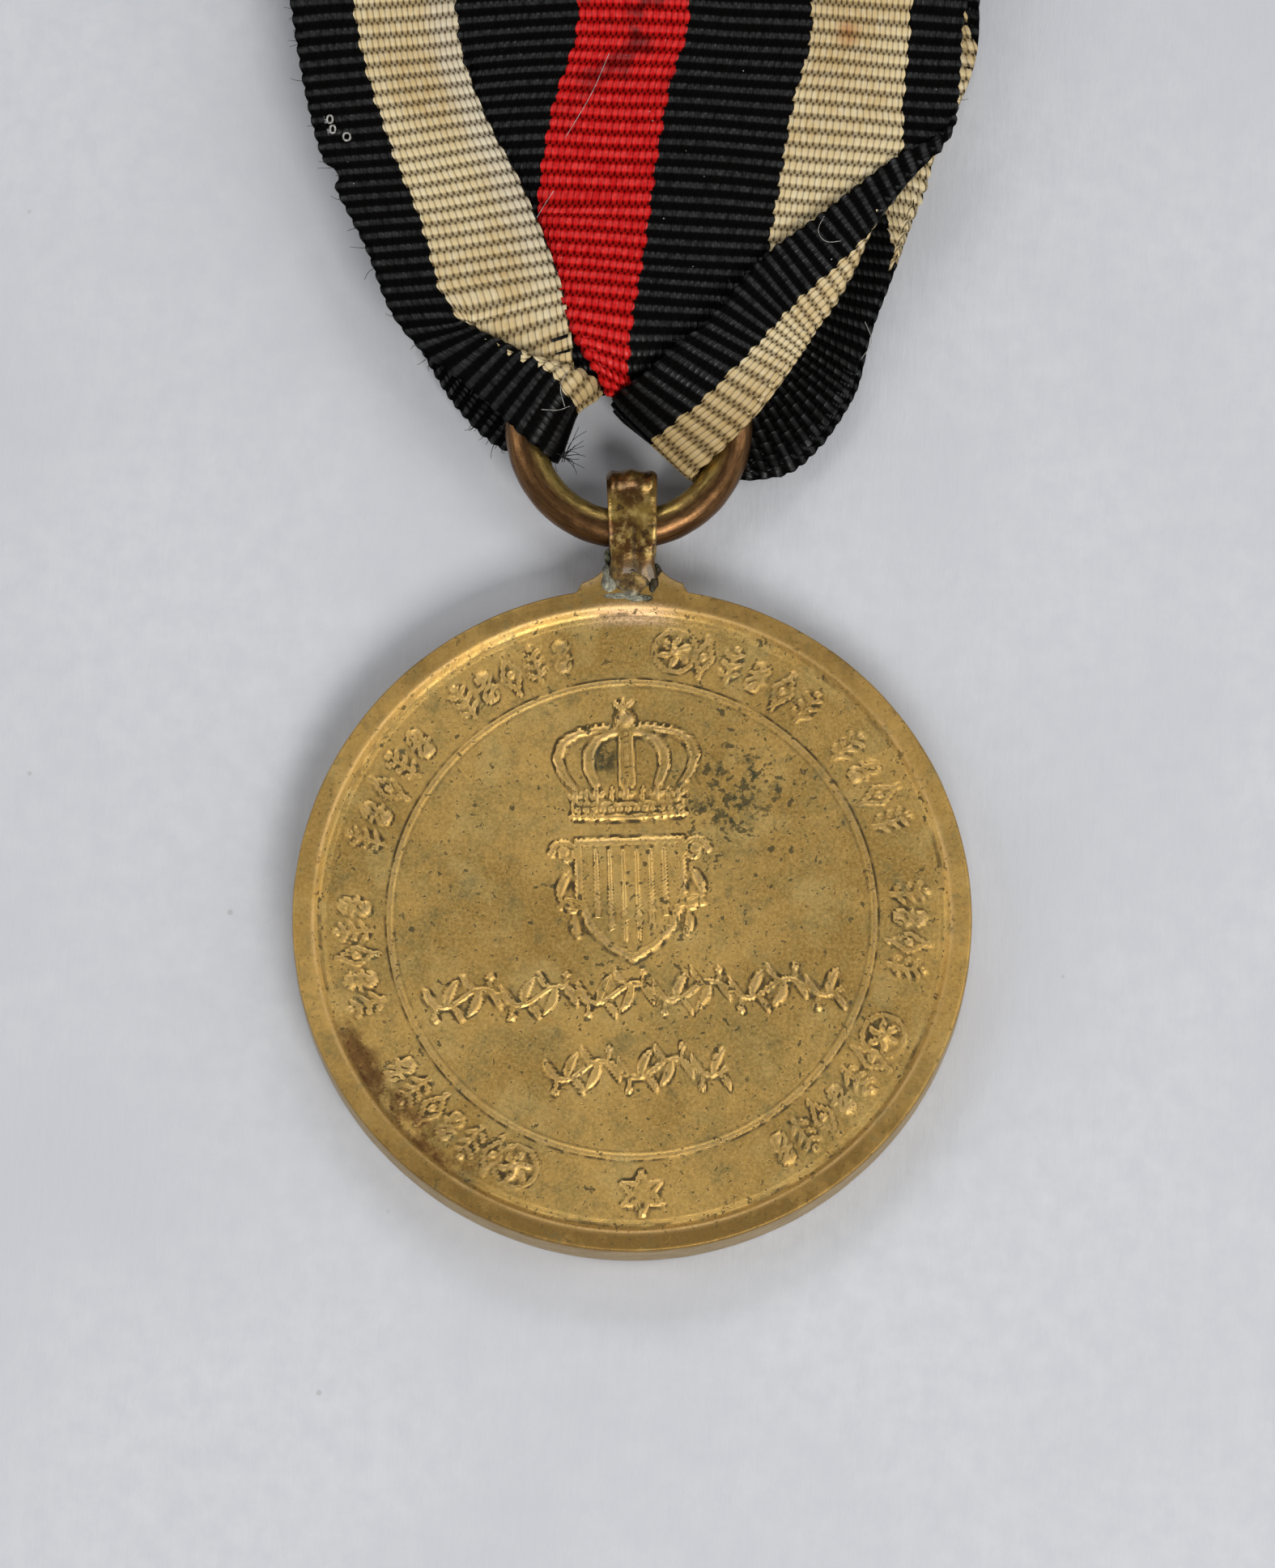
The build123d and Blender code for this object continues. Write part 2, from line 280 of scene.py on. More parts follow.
def paper():
    """Pale laid paper with faint fibres and a few specks."""
    p = Paint("paper")
    grain = p.noise(0.9, 6.0, 0.6)
    fibre = p.noise(3.5, 4.0, 0.6, vector=p.stretch(p.place(), (1.0, 0.25, 1.0)), seed=3.0)
    p.colour = p.blend(p.span(grain, 0.3, 0.7), (0.475, 0.485, 0.51), (0.515, 0.525, 0.545))
    p.coat(p.span(p.noise(0.06, 3.0, seed=5.0), 0.35, 0.7), (0.465, 0.47, 0.495))
    speck = p.span(p.cells(0.35), 0.055, 0.03) * p.span(p.noise(0.22, 1.0, seed=9.0), 0.56, 0.62)
    p.coat(speck * 0.45, (0.3, 0.27, 0.25))
    return p.finish(Roughness=0.85, Normal=p.bump(fibre, 0.03))


corners = [(x * FLOOR_HALF, y * FLOOR_HALF, 0) for x, y in ((-1, -1), (1, -1), (1, 1), (-1, 1))]
floor_mesh = bpy.data.meshes.new("paper_sheet")
floor_mesh.from_pydata(corners, [], [(0, 1, 2, 3)])
floor_mesh.materials.append(paper())
floor = bpy.data.objects.new("paper_sheet", floor_mesh)
floor.location.z = -FLOOR_DROP
scene.collection.objects.link(floor)

# ---------------------------------------------------------------- disc
DISC_R, DISC_T = 14.5, 2.3
FIELD_Z, BACK_FIELD_Z = 1.98, 0.32
LINE_RING_R = 10.35
FRONT_N, BACK_N = 640, 320  # points round a circle on each face
RELIEF_TURN = math.radians(2.0)
STROKE_WEIGHT = 0.82


class Relief:
    """Raised ornament: a height over the field, sampled at points in millimetres."""

    def __init__(self, x, y):
        self.x, self.y, self.h = x, y, np.zeros_like(x)
        self.at(0, 0)

    def at(self, x, y, turn=0.0, size=1.0, flip=False):
        """Following strokes are drawn at this place, turned by degrees."""
        self.spot = (x, y, math.radians(turn), size, -1.0 if flip else 1.0)
        return self

    def world(self, points):
        x0, y0, turn, size, side = self.spot
        pts = np.asarray(points, dtype=float) * size * (side, 1.0)
        c, s = math.cos(turn), math.sin(turn)
        return np.stack([x0 + c * pts[:, 0] - s * pts[:, 1], y0 + s * pts[:, 0] + c * pts[:, 1]], axis=1)

    def within(self, low, high):
        """Indices of the samples inside a box."""
        inside_x = (self.x > low[0]) & (self.x < high[0])
        return np.nonzero(inside_x & (self.y > low[1]) & (self.y < high[1]))[0]

    def raise_to(self, near, distance, height, edge):
        rise = height * smoothstep(0.5 - distance / edge)
        self.h[near] = np.maximum(self.h[near], rise)

    def stroke(self, points, widths, height=0.09, edge=0.11):
        """A line with rounded ends through the points; widths are half widths at the points."""
        pts = self.world(points)
        half = np.broadcast_to(np.asarray(widths, dtype=float) * self.spot[3] * STROKE_WEIGHT, len(pts))
        for (ax, ay), (bx, by), wa, wb in zip(pts[:-1], pts[1:], half[:-1], half[1:]):
            reach = max(wa, wb) + edge
            low = (min(ax, bx) - reach, min(ay, by) - reach)
            near = self.within(low, (max(ax, bx) + reach, max(ay, by) + reach))
            px, py, dx, dy = self.x[near] - ax, self.y[near] - ay, bx - ax, by - ay
            t = np.clip((px * dx + py * dy) / (dx * dx + dy * dy + 1e-9), 0, 1)
            distance = np.hypot(px - t * dx, py - t * dy) - (wa + t * (wb - wa))
            self.raise_to(near, distance, height, edge)
        return self

    def bead(self, x, y, r, height=0.12):
        cx, cy = self.world([(x, y)])[0]
        r = r * self.spot[3]
        near = self.within((cx - r, cy - r), (cx + r, cy + r))
        d = np.hypot(self.x[near] - cx, self.y[near] - cy) / r
        self.h[near] = np.maximum(self.h[near], height * np.sqrt(np.clip(1 - d ** 2.6, 0, 1)))
        return self

    def fill(self, points, height=0.09, edge=0.11):
        """A flat-topped polygon."""
        pts = self.world(points)
        near = self.within(pts.min(axis=0) - edge, pts.max(axis=0) + edge)
        px, py = self.x[near], self.y[near]
        inside = np.zeros(len(near), dtype=bool)
        distance = np.full(len(near), 9.0)
        for (ax, ay), (bx, by) in zip(pts, np.roll(pts, -1, axis=0)):
            crosses = (ay > py) != (by > py)
            inside ^= crosses & (px < (bx - ax) * (py - ay) / (by - ay + 1e-12) + ax)
            dx, dy = bx - ax, by - ay
            t = np.clip(((px - ax) * dx + (py - ay) * dy) / (dx * dx + dy * dy), 0, 1)
            distance = np.minimum(distance, np.hypot(px - ax - t * dx, py - ay - t * dy))
        self.raise_to(near, np.where(inside, -distance, distance), height, edge)
        return self

    def leaf(self, x, y, turn, length, width, height=0.1):
        """A pointed leaf growing from its foot."""
        t = np.linspace(0, 1, 7)
        c, s = math.cos(math.radians(turn)), math.sin(math.radians(turn))
        along = t * length
        bend = 0.10 * length * np.sin(math.pi * t)
        points = np.stack([x + c * along - s * bend, y + s * along + c * bend], axis=1)
        return self.stroke(points, width * np.sin(math.pi * (0.08 + 0.9 * t)) ** 0.8 * 0.5, height)

    def curl(self, x, y, turn, radius, turns=1.1, width=0.09):
        """A tendril that rolls up into a berry."""
        a = np.linspace(0, 2 * math.pi * turns, 16)
        r = radius * (1 - 0.78 * a / a[-1])
        a = a + math.radians(turn)
        cx, cy = x - radius * math.cos(a[0]), y - radius * math.sin(a[0])
        points = np.stack([cx + r * np.cos(a), cy + r * np.sin(a)], axis=1)
        self.stroke(points, np.linspace(width, 0.6 * width, 16))
        return self.bead(points[-1][0], points[-1][1], 0.2)


def arc_points(r, start, end, count):
    """Points on an arc about the origin, between two angles in degrees."""
    a = np.radians(np.linspace(start, end, count))
    return np.stack([r * np.cos(a), r * np.sin(a)], axis=1)


def sprig(relief):
    relief.stroke([(0, -0.85), (0.03, 0), (0, 0.6)], [0.1, 0.08, 0.06])
    for y in (-0.62, -0.12, 0.36):
        relief.leaf(0.05, y, 38, 0.55, 0.22).leaf(-0.05, y, 142, 0.55, 0.22)
    relief.bead(0, 0.82, 0.17)


def lozenge(relief):
    corners = np.array([(0, 0.8), (0.42, 0), (0, -0.8), (-0.42, 0)])
    relief.stroke(np.vstack([corners, corners[:1]]), 0.085)
    relief.bead(0, 0, 0.2).bead(0, 0.98, 0.12).bead(0, -0.98, 0.12)


def scroll(relief):
    relief.curl(0.34, 0.42, 0, 0.36).curl(-0.34, -0.42, 180, 0.36)
    relief.stroke([(0.36, 0.36), (0.1, 0.02), (-0.1, -0.02), (-0.36, -0.36)], 0.09)
    relief.leaf(0.0, 0.1, 170, 0.5, 0.22).leaf(0.0, -0.1, -10, 0.5, 0.22)


def rosette(relief, petals=6):
    for k in range(petals):
        relief.leaf(0, 0, 360 * k / petals + 20, 0.78, 0.36)
    relief.bead(0, 0, 0.24, 0.2)
    relief.stroke(arc_points(0.92, 0, 360, 30), 0.07)


# the border's groups run clockwise: start and end in degrees, and whether a rosette opens the group
BORDER = [(246, 209, True), (199, 173, False), (164, 135, False), (128, 100, False),
          (82, 46, True), (40, 16, False), (6, -15, False), (-25, -62, True)]
BORDER_R, BORDER_PITCH = 11.86, 1.16


def draw_border(relief):
    for start, end, opens in BORDER:
        length = math.radians(abs(end - start)) * BORDER_R
        count = max(3, round(length / BORDER_PITCH))
        for k in range(count):
            angle = start + (end - start) * (k + 0.5) / count
            a = math.radians(angle)
            first = opens and k == 0
            size = 0.98 if first else 0.92
            relief.at(BORDER_R * math.cos(a), BORDER_R * math.sin(a), angle - 90, size)
            motif = rosette if first else (sprig, scroll, lozenge)[(k + opens) % 3]
            motif(relief)


def draw_vine(relief, y, half, size, count):
    """A running branch: a gently waved stem with leaf pairs and berries in its bends."""
    pitch, swing = 2 * half / count, 0.34 * size
    x = np.linspace(-half + 0.1 * pitch, half - 0.1 * pitch, 14 * count)
    stem = -swing * np.cos(math.pi * (x + half - pitch / 2) / pitch)
    relief.at(0, y).stroke(np.stack([x, stem], axis=1), 0.11)
    for k in range(count):
        up = 1 if k % 2 == 0 else -1
        relief.at(-half + (k + 0.5) * pitch, y - swing * up, 0 if up > 0 else 180, size)
        relief.leaf(0.10, 0.0, 66, 1.15, 0.42).leaf(-0.22, 0.0, 122, 0.95, 0.38)
        relief.leaf(0.34, 0.0, -58, 0.72, 0.30)
        relief.stroke([(-0.30, 0.0), (-0.34, -0.40)], 0.06).bead(-0.34, -0.46, 0.15)


def draw_crown(relief):
    """A plain coronet: beaded band, leaf points, five arches and a ball."""
    relief.at(0, 0)
    relief.stroke([(-2.42, 4.5), (-1.2, 4.44), (0, 4.42), (1.2, 4.44), (2.42, 4.5)], 0.11, 0.15)
    relief.stroke([(-2.36, 5.1), (-1.2, 5.04), (0, 5.02), (1.2, 5.04), (2.36, 5.1)], 0.06, 0.13)
    relief.fill([(-2.45, 4.55), (2.45, 4.55), (2.4, 5.05), (-2.4, 5.05)], 0.05)
    for k in range(13):
        relief.bead(-2.16 + 0.36 * k, 4.77, 0.16, 0.13)
    for x, tall in ((-2.2, 0.5), (-1.3, 0.62), (0.0, 0.75), (1.3, 0.62), (2.2, 0.5)):
        relief.at(x, 5.18)
        relief.leaf(0, 0, 90, tall, 0.34, 0.16).bead(0, tall + 0.02, 0.12, 0.15)
        relief.leaf(0, 0.05, 40, 0.45, 0.24).leaf(0, 0.05, 140, 0.45, 0.24)
    for x in (-1.75, -0.65, 0.65, 1.75):
        relief.at(x, 5.16).leaf(0, 0, 90, 0.36, 0.2).bead(0, 0.45, 0.11)
    relief.at(0, 0)
    for side in (-1, 1):
        outer = [(2.25, 5.75), (2.72, 6.35), (2.95, 7.05), (2.7, 7.75), (2.0, 8.15), (1.0, 8.3),
                 (0.2, 8.32)]
        inner = [(1.35, 5.9), (1.62, 6.6), (1.6, 7.3), (1.2, 7.9), (0.6, 8.12), (0.15, 8.15)]
        relief.stroke([(side * x, y) for x, y in outer], [0.13, 0.2, 0.24, 0.22, 0.17, 0.13, 0.1], 0.11)
        relief.stroke([(side * x, y) for x, y in inner], [0.22, 0.27, 0.27, 0.22, 0.15, 0.1], 0.12)
        rim = np.array(outer)
        for t in np.linspace(0.05, 0.97, 17):
            at = t * (len(rim) - 1)
            i = min(int(at), len(rim) - 2)
            x, y = rim[i] + (at - i) * (rim[i + 1] - rim[i])
            relief.bead(side * (x + 0.16 * (1 - t)), y + 0.13 * t, 0.1, 0.14)
    relief.stroke([(0, 5.95), (0, 8.2)], [0.42, 0.36], 0.1)
    for y in np.arange(6.2, 8.15, 0.27):
        relief.bead(0, y, 0.14, 0.16)
    relief.bead(0, 8.72, 0.44, 0.24).stroke([(-0.2, 8.3), (0.2, 8.3)], 0.12, 0.14)
    for turn in (50, 90, 130):
        relief.leaf(0, 9.05, turn, 0.62, 0.26, 0.13)


def draw_shield(relief):
    """A plain shield with upright bars, held by two scrolls."""
    left = [(-2.2, 3.35), (-2.2, 1.0), (-1.75, -0.35), (-0.95, -1.2), (0, -1.75)]
    outline = left + [(-x, y) for x, y in left[-2::-1]]
    relief.at(0, 0).fill(outline, 0.07)
    relief.stroke(outline + outline[:1], 0.19, 0.11)
    for x in (-1.45, -0.87, -0.29, 0.29, 0.87, 1.45):
        foot = -1.25 + 0.95 * abs(x)
        relief.stroke([(x, 2.95), (x, foot)], 0.11, 0.13, 0.1)
    for side in (-1, 1):
        relief.at(side * 2.75, 2.75, 0, 1.4, flip=side < 0)
        relief.curl(0.42, 0.1, 0, 0.42, 1.15, 0.12)
        relief.leaf(-0.1, -0.5, -70, 0.9, 0.3)
        relief.at(side * 2.6, 0.55, 0, 1.2, flip=side < 0)
        relief.curl(0.35, 0.0, 0, 0.36, 1.1, 0.11).leaf(-0.15, -0.3, -100, 0.9, 0.3)


def draw_star(relief, x, y, r):
    """A six-pointed star."""
    tips = []
    for k in range(12):
        reach, turn = r * (0.5 if k % 2 else 1), math.pi * k / 6
        tips.append((reach * math.sin(turn), reach * math.cos(turn)))
    relief.at(x, y).stroke(tips + tips[:1], 0.085, 0.12)
    relief.fill(tips, 0.05)


def front_relief(x, y):
    c, s = math.cos(-RELIEF_TURN), math.sin(-RELIEF_TURN)
    relief = Relief(c * x - s * y, s * x + c * y)
    draw_border(relief)
    draw_crown(relief)
    draw_shield(relief)
    draw_vine(relief, -3.25, 8.95, 1.12, 11)
    draw_vine(relief, -6.55, 3.9, 1.12, 5)
    draw_star(relief, 0, -11.95, 0.95)
    return relief.h


STAR_Y, BRANCH_R, BRANCH_FOOT = 0.6, 9.6, -84


def back_relief(x, y):
    """A star with rays over two leafy branches, tied at the foot."""
    relief = Relief(x, y)
    draw_star(relief, 0, STAR_Y, 2.6)
    relief.at(0, STAR_Y)
    for turn in np.linspace(0, 2 * math.pi, 16, endpoint=False):
        ray = np.array([math.cos(turn), math.sin(turn)])
        relief.stroke([3.3 * ray, 4.6 * ray], [0.16, 0.05])
    for side in (-1, 1):
        for angle in np.arange(17) * 9.2 + BRANCH_FOOT:
            a = math.radians(angle)
            relief.at(side * BRANCH_R * math.cos(a), BRANCH_R * math.sin(a), flip=side < 0)
            relief.leaf(0, 0, angle + 55, 1.9, 0.8).leaf(0, 0, angle + 125, 1.8, 0.75)
            relief.bead(0.2, 0.2, 0.2)
    right, left = (BRANCH_FOOT, 62), (180 - BRANCH_FOOT, 118)
    relief.at(0, 0)
    for start, end in (right, left):
        relief.stroke(arc_points(BRANCH_R, start, end, 40), 0.13)
    relief.stroke([(-1.6, -10.4), (0, -9.6), (1.6, -10.4)], 0.2).bead(0, -9.6, 0.45)
    return relief.h


def disc_outline(angle):
    """Radius of the outline: the circle, and the shoulder under the eyelet."""
    off_top = np.abs((angle - math.pi / 2 + math.pi) % (2 * math.pi) - math.pi)
    at = np.radians([0, 4.6, 6.1, 7.4, 8.7, 9.3])
    shoulder = np.interp(off_top, at, [15.28, 15.33, 15.06, 14.93, 14.86, DISC_R])
    return np.where(off_top < at[-1], shoulder, DISC_R)


def rim_profile(r, field, top):
    """Height at a radius: the field, the line ring, the fine step and the raised rim."""
    up = np.sign(top - field)
    z = np.full_like(r, field)
    z += up * 0.085 * smoothstep(0.5 - (np.abs(r - LINE_RING_R) - 0.08) / 0.11)
    z += up * 0.045 * smoothstep((r - 13.06) / 0.09)
    return z + (top - z) * smoothstep((r - 13.26) / 0.44)


def polar_grid(radii, count):
    angle = np.arange(count) * 2 * math.pi / count
    r, a = (m.ravel() for m in np.meshgrid(radii, angle, indexing="ij"))
    return angle, r, a, r * np.cos(a), r * np.sin(a)


def cavity(height, cols):
    """How far each point lies under (positive) or over its surroundings, from -1 to 1."""
    h = height.reshape(-1, cols)
    soft = h.copy()
    for _ in range(3):
        wide = np.pad(soft, ((1, 1), (0, 0)), mode="edge")
        beside = np.roll(soft, 1, 1) + np.roll(soft, -1, 1)
        soft = (wide[:-2] + wide[2:] + soft + beside) / 5
    return np.clip((soft - h) / 0.03, -1, 1).ravel()


def make_disc():
    """Front, wall and back as one closed skin, and the front's cavity for its dirt and wear."""
    radii = np.concatenate([np.arange(0.25, 13.0, 0.122), np.arange(13.0, 13.8, 0.09),
                            [13.9, 14.1, 14.3, 14.38]])
    angle, r, a, x, y = polar_grid(radii, FRONT_N)
    relief = front_relief(x, y)
    uneven = 0.008 * np.sin(3 * a + 1) * smoothstep((r - 13.4) / 0.4)
    top = rim_profile(r, FIELD_Z, DISC_T) + relief * smoothstep((13.2 - r) / 0.2) + uneven
    verts = [np.stack([x, y, top], axis=1)]

    # the wall, from the front's bevel to the back's
    edge = disc_outline(angle)
    shoulder = edge > DISC_R + 0.05
    bevel = np.where(shoulder, edge - 0.1, 14.43)
    dents = 0.012 * np.sin(17 * angle) + 0.01 * np.sin(41 * angle + 2)
    rolled, wall = edge - 0.01 + dents * 0.3, edge + dents * 0.4
    front_z, back_z = np.where(shoulder, 2.2, 2.285), np.where(shoulder, 0.1, 0.015)
    levels = [(bevel, front_z), (rolled, 2.17), (wall, 1.7), (wall, 1.15), (wall, 0.6),
              (rolled, 0.13), (bevel, back_z)]
    for radius, z in levels:
        verts.append(np.stack([radius * np.cos(angle), radius * np.sin(angle),
                               np.broadcast_to(z, angle.shape)], axis=1))
    rings = len(radii) + len(levels)
    faces = grid_faces(rings, FRONT_N, wrap_cols=True, flip=True)
    count = rings * FRONT_N
    faces += [[count, k, (k + 1) % FRONT_N] for k in range(FRONT_N)]
    verts.append(np.array([[0, 0, FIELD_Z + relief[:FRONT_N].mean()]]))
    count += 1

    # the back has half as many points round, so its first circle is stitched to every other one
    back_radii = np.concatenate([[14.3, 13.95, 13.78], np.arange(13.7, 13.2, -0.12),
                                 np.arange(13.1, 0.3, -0.28)])
    _, r, a, x, y = polar_grid(back_radii, BACK_N)
    low = rim_profile(r, BACK_FIELD_Z, 0.0) - back_relief(-x, y) * smoothstep((13.1 - r) / 0.2)
    verts.append(np.stack([x, y, low], axis=1))
    verts.append(np.array([[0, 0, BACK_FIELD_Z - 0.05]]))
    outer = (rings - 1) * FRONT_N
    for k in range(BACK_N):
        a0, a1, a2 = outer + 2 * k, outer + 2 * k + 1, outer + (2 * k + 2) % FRONT_N
        b0, b1 = count + k, count + (k + 1) % BACK_N
        faces += [[a0, b0, a1], [a1, b0, b1], [a1, b1, a2]]
    faces += grid_faces(len(back_radii), BACK_N, first=count, wrap_cols=True, flip=True)
    centre = count + len(back_radii) * BACK_N
    last = centre - BACK_N
    faces += [[last + k, centre, last + (k + 1) % BACK_N] for k in range(BACK_N)]
    verts = np.concatenate(verts)
    crevice = np.zeros(len(verts))
    crevice[:len(top)] = cavity(top - FIELD_Z, FRONT_N)
    return verts, faces, crevice


def bronze():
    """Yellow bronze: tones, worn edges, dirt round the relief, specks, patches and rust."""
    p = Paint("struck_bronze")
    crevice = p.data("crevice")
    broad = p.noise(0.16, 4.0, 0.6)
    mottle = p.noise(0.75, 5.0, 0.65, seed=2.0)
    fine = p.noise(7.0, 4.0, 0.7, seed=4.0)
    p.colour = p.blend(p.span(broad, 0.38, 0.62), (0.44, 0.262, 0.064), (0.68, 0.42, 0.118))
    p.coat(p.span(mottle, 0.46, 0.60, 0, 0.6), (0.39, 0.272, 0.085))
    pale = p.noise(0.42, 4.0, 0.6, seed=26.0)
    p.coat(p.span(pale, 0.50, 0.66, 0, 0.55), (0.70, 0.49, 0.17))
    p.coat(p.span(fine, 0.38, 0.66, 0, 0.4), (0.62, 0.405, 0.14))
    x, y, z = p.parts()
    radius = p.math("SQRT", x * x + y * y)
    rim = p.span(radius, 13.2, 13.75)
    ends = p.larger(p.span(y, 5.0, 12.5, 0.35, 0.9), p.span(y, -4.0, -12.0, 0.35, 1.15))
    p.coat(rim * ends * p.span(mottle, 0.35, 0.6, 0.6, 0.95), (0.235, 0.138, 0.036))
    on_rim = p.span(radius, 13.95, 13.6) * p.span(y, 9.0, 10.0)
    rubbed = p.span(abs(x), 2.6, 0.4) * p.span(radius, 12.75, 13.05) * on_rim
    p.coat(rubbed * p.span(fine, 0.35, 0.6, 0.35, 0.85), (0.78, 0.52, 0.3))
    # worn bright edges and dark lines round the relief
    wear = p.span(crevice, -0.12, -0.75) * p.span(mottle, 0.35, 0.6, 0.15, 0.7)
    p.coat(wear, (0.62, 0.40, 0.16))
    dirt = p.span(crevice, 0.08, 0.6) * p.span(p.noise(1.6, 3.0, seed=6.0), 0.36, 0.6, 0.35, 0.95)
    ring_step = p.span(radius, 12.5, 12.8) * p.span(p.noise(0.35, 3.0, seed=29.0), 0.44, 0.6, 0.9, 0.25)
    dirt = dirt * (1.0 - ring_step)
    p.coat(dirt, (0.055, 0.038, 0.018))
    # specks: denser on the right and between the shield and the coronet
    near = p.distance(p.place(), (4.4, 5.2, 2.0))
    near_mid = p.distance(p.place(), (1.5, -1.8, 2.0))
    crowd = p.larger(p.span(near, 5.0, 0.4, 0, 0.1), p.span(near_mid, 6.5, 1.0, 0, 0.045))
    specks = p.noise(2.6, 2.5, 0.55, seed=8.0)
    specks = p.span(specks + crowd, 0.635, 0.695)
    small = p.span(p.noise(5.2, 1.5, 0.5, seed=11.0) + crowd * 0.4, 0.625, 0.69, 0, 0.85)
    face = p.span(z, 1.5, 1.9)
    spots = p.larger(specks, small) * p.span(rim, 0.0, 1.0, 0.85, 0.5)
    p.coat(spots * face, (0.06, 0.052, 0.026))
    haze = p.span(p.noise(0.9, 6.0, 0.75, seed=30.0), 0.52, 0.7, 0, 0.55) * face
    p.coat(haze, (0.19, 0.165, 0.075))
    # green-black patches right of the coronet and in its left opening
    cloud = p.noise(1.5, 4.0, 0.7, seed=14.0)
    patch = p.span(near, 3.1, 0.8) * p.span(cloud, 0.5, 0.62)
    hole = p.distance(p.place(), (-1.15, 6.95, 2.0))
    patch = p.larger(patch, p.span(hole, 0.85, 0.3) * p.span(cloud, 0.36, 0.52))
    p.coat(patch * 0.8, (0.035, 0.045, 0.028))
    # rusty stain under the lower left rim
    turn = p.math("ARCTAN2", y, x)
    arc = p.span(turn, -2.86, -2.7) * p.span(turn, -2.02, -2.25)
    band = p.span(radius, 11.9, 12.9) * p.span(radius, 13.65, 13.3)
    rust = arc * band * p.span(p.noise(1.1, 4.0, 0.65, seed=28.0), 0.38, 0.58, 0.0, 1.0)
    p.coat(rust * 0.8, (0.095, 0.03, 0.009))
    # grey-beige side
    side = p.span(radius, 14.4, 14.47) * p.span(z, 2.28, 2.1)
    banded = p.noise(1.0, 4.0, 0.55, vector=p.stretch(p.place(), (1.0, 1.0, 3.0)), seed=27.0)
    beige = p.blend(p.span(banded, 0.3, 0.7), (0.455, 0.345, 0.195), (0.345, 0.25, 0.13))
    p.coat(side * 0.95, beige)
    rough = p.span(fine, 0.3, 0.7, 0.34, 0.5) + rim * 0.12 + p.larger(dirt, spots) * 0.25
    scratch = p.noise(1.0, 3.0, 0.7, vector=p.stretch(p.place(), (1.2, 14.0, 1.0)), seed=17.0)
    bump = p.bump(p.noise(16.0, 3.0, 0.6, seed=19.0) + spots * -0.8, 0.01)
    bump = p.bump(p.noise(2.2, 4.0, 0.6, seed=21.0), 0.018, below=bump)
    bump = p.bump(scratch, 0.004, below=bump)
    return p.finish(Metallic=0.86, Roughness=rough, Normal=bump)


verts, faces, crevice = make_disc()
make_object("medal_disc", verts, faces, bronze(), "medal", "struck_bronze", ["disc"],
            data={"crevice": crevice})

# ---------------------------------------------------------------- ring
WIRE_R, RING_R, RING_TILT = 0.82, 4.52, math.radians(6.0)
RING_CENTRE = np.array([-0.15, 17.2 + RING_R * math.cos(RING_TILT), 1.6 + RING_R * math.sin(RING_TILT)])


def make_ring():
    """Wire bent round, its ends butted at the top."""
    seam = math.radians(1.4)
    steps, sides = 220, 40
    a = math.pi / 2 + seam / 2 + np.linspace(0, 2 * math.pi - seam, steps)
    b = np.linspace(0, 2 * math.pi, sides, endpoint=False)
    ends = np.minimum(np.arange(steps), np.arange(steps)[::-1])
    pinched = (1 - 0.16 * np.exp(-ends / 0.6))[:, None]
    oval = 1 + 0.006 * np.sin(5 * a)[:, None] * np.cos(b)
    r = WIRE_R * pinched * oval
    r = r + 0.008 * np.sin(23 * a[:, None] + 3 * b) * np.sin(7 * a[:, None])
    flat_x = (RING_R + r * np.cos(b)) * np.cos(a)[:, None]
    flat_y = (RING_R + r * np.cos(b)) * np.sin(a)[:, None]
    flat_z = r * np.sin(b)
    c, s = math.cos(RING_TILT), math.sin(RING_TILT)
    tilted = [flat_x, flat_y * c - flat_z * s, flat_y * s + flat_z * c]
    verts = np.stack(tilted, axis=2).reshape(-1, 3) + RING_CENTRE
    uv = np.stack(np.broadcast_arrays(a[:, None] * RING_R, b[None, :]), axis=2).reshape(-1, 2)
    faces = grid_faces(steps, sides, wrap_cols=True)
    faces += [list(range(sides)), [(steps - 1) * sides + k for k in range(sides)][::-1]]
    return verts, faces, uv


def old_brass():
    """Patina: brown on the outside of the bend, rubbed olive gold inside, streaked along the wire."""
    p = Paint("ring_brass")
    u, v = p.uv()
    along = p.node("CombineXYZ", {0: u * 0.35, 1: p.math("COSINE", v), 2: p.math("SINE", v)}).outputs[0]
    streak = p.noise(2.6, 5.0, 0.65, vector=p.stretch(along, (1.0, 2.2, 2.2)))
    spots = p.noise(3.2, 4.0, 0.7, seed=3.0)
    inner = p.span(p.math("COSINE", v - 2.62), 0.52, 0.97)
    rubbed = inner * p.span(streak, 0.35, 0.6, 0.35, 1.0)
    p.colour = p.blend(p.span(streak, 0.35, 0.65), (0.084, 0.038, 0.013), (0.17, 0.084, 0.029))
    p.coat(rubbed, (0.42, 0.295, 0.08))
    p.coat(p.span(spots, 0.58, 0.72, 0, 0.8), (0.06, 0.035, 0.018))
    p.coat(p.span(p.noise(9.0, 2.0, seed=5.0), 0.68, 0.76, 0, 0.7), (0.06, 0.07, 0.035))
    rough = p.span(spots, 0.3, 0.7, 0.26, 0.42)
    bump = p.bump(p.noise(5.0, 4.0, 0.6, seed=7.0), 0.012)
    return p.finish(Metallic=0.85, Roughness=rough, Normal=bump)


verts, faces, uv = make_ring()
make_object("ring_wire", verts, faces, old_brass(), "ring", "ring_brass", ["suspension_ring"], uv=uv)

# ---------------------------------------------------------------- eyelet
EYE_Y, EYE_Z, EYE_STRAIGHT = 17.2, 1.6, 1.1
EYE_MID_R, EYE_HALF_W, EYE_HALF_T = 1.325, 1.1, 0.225
CORE_SIDES = 24


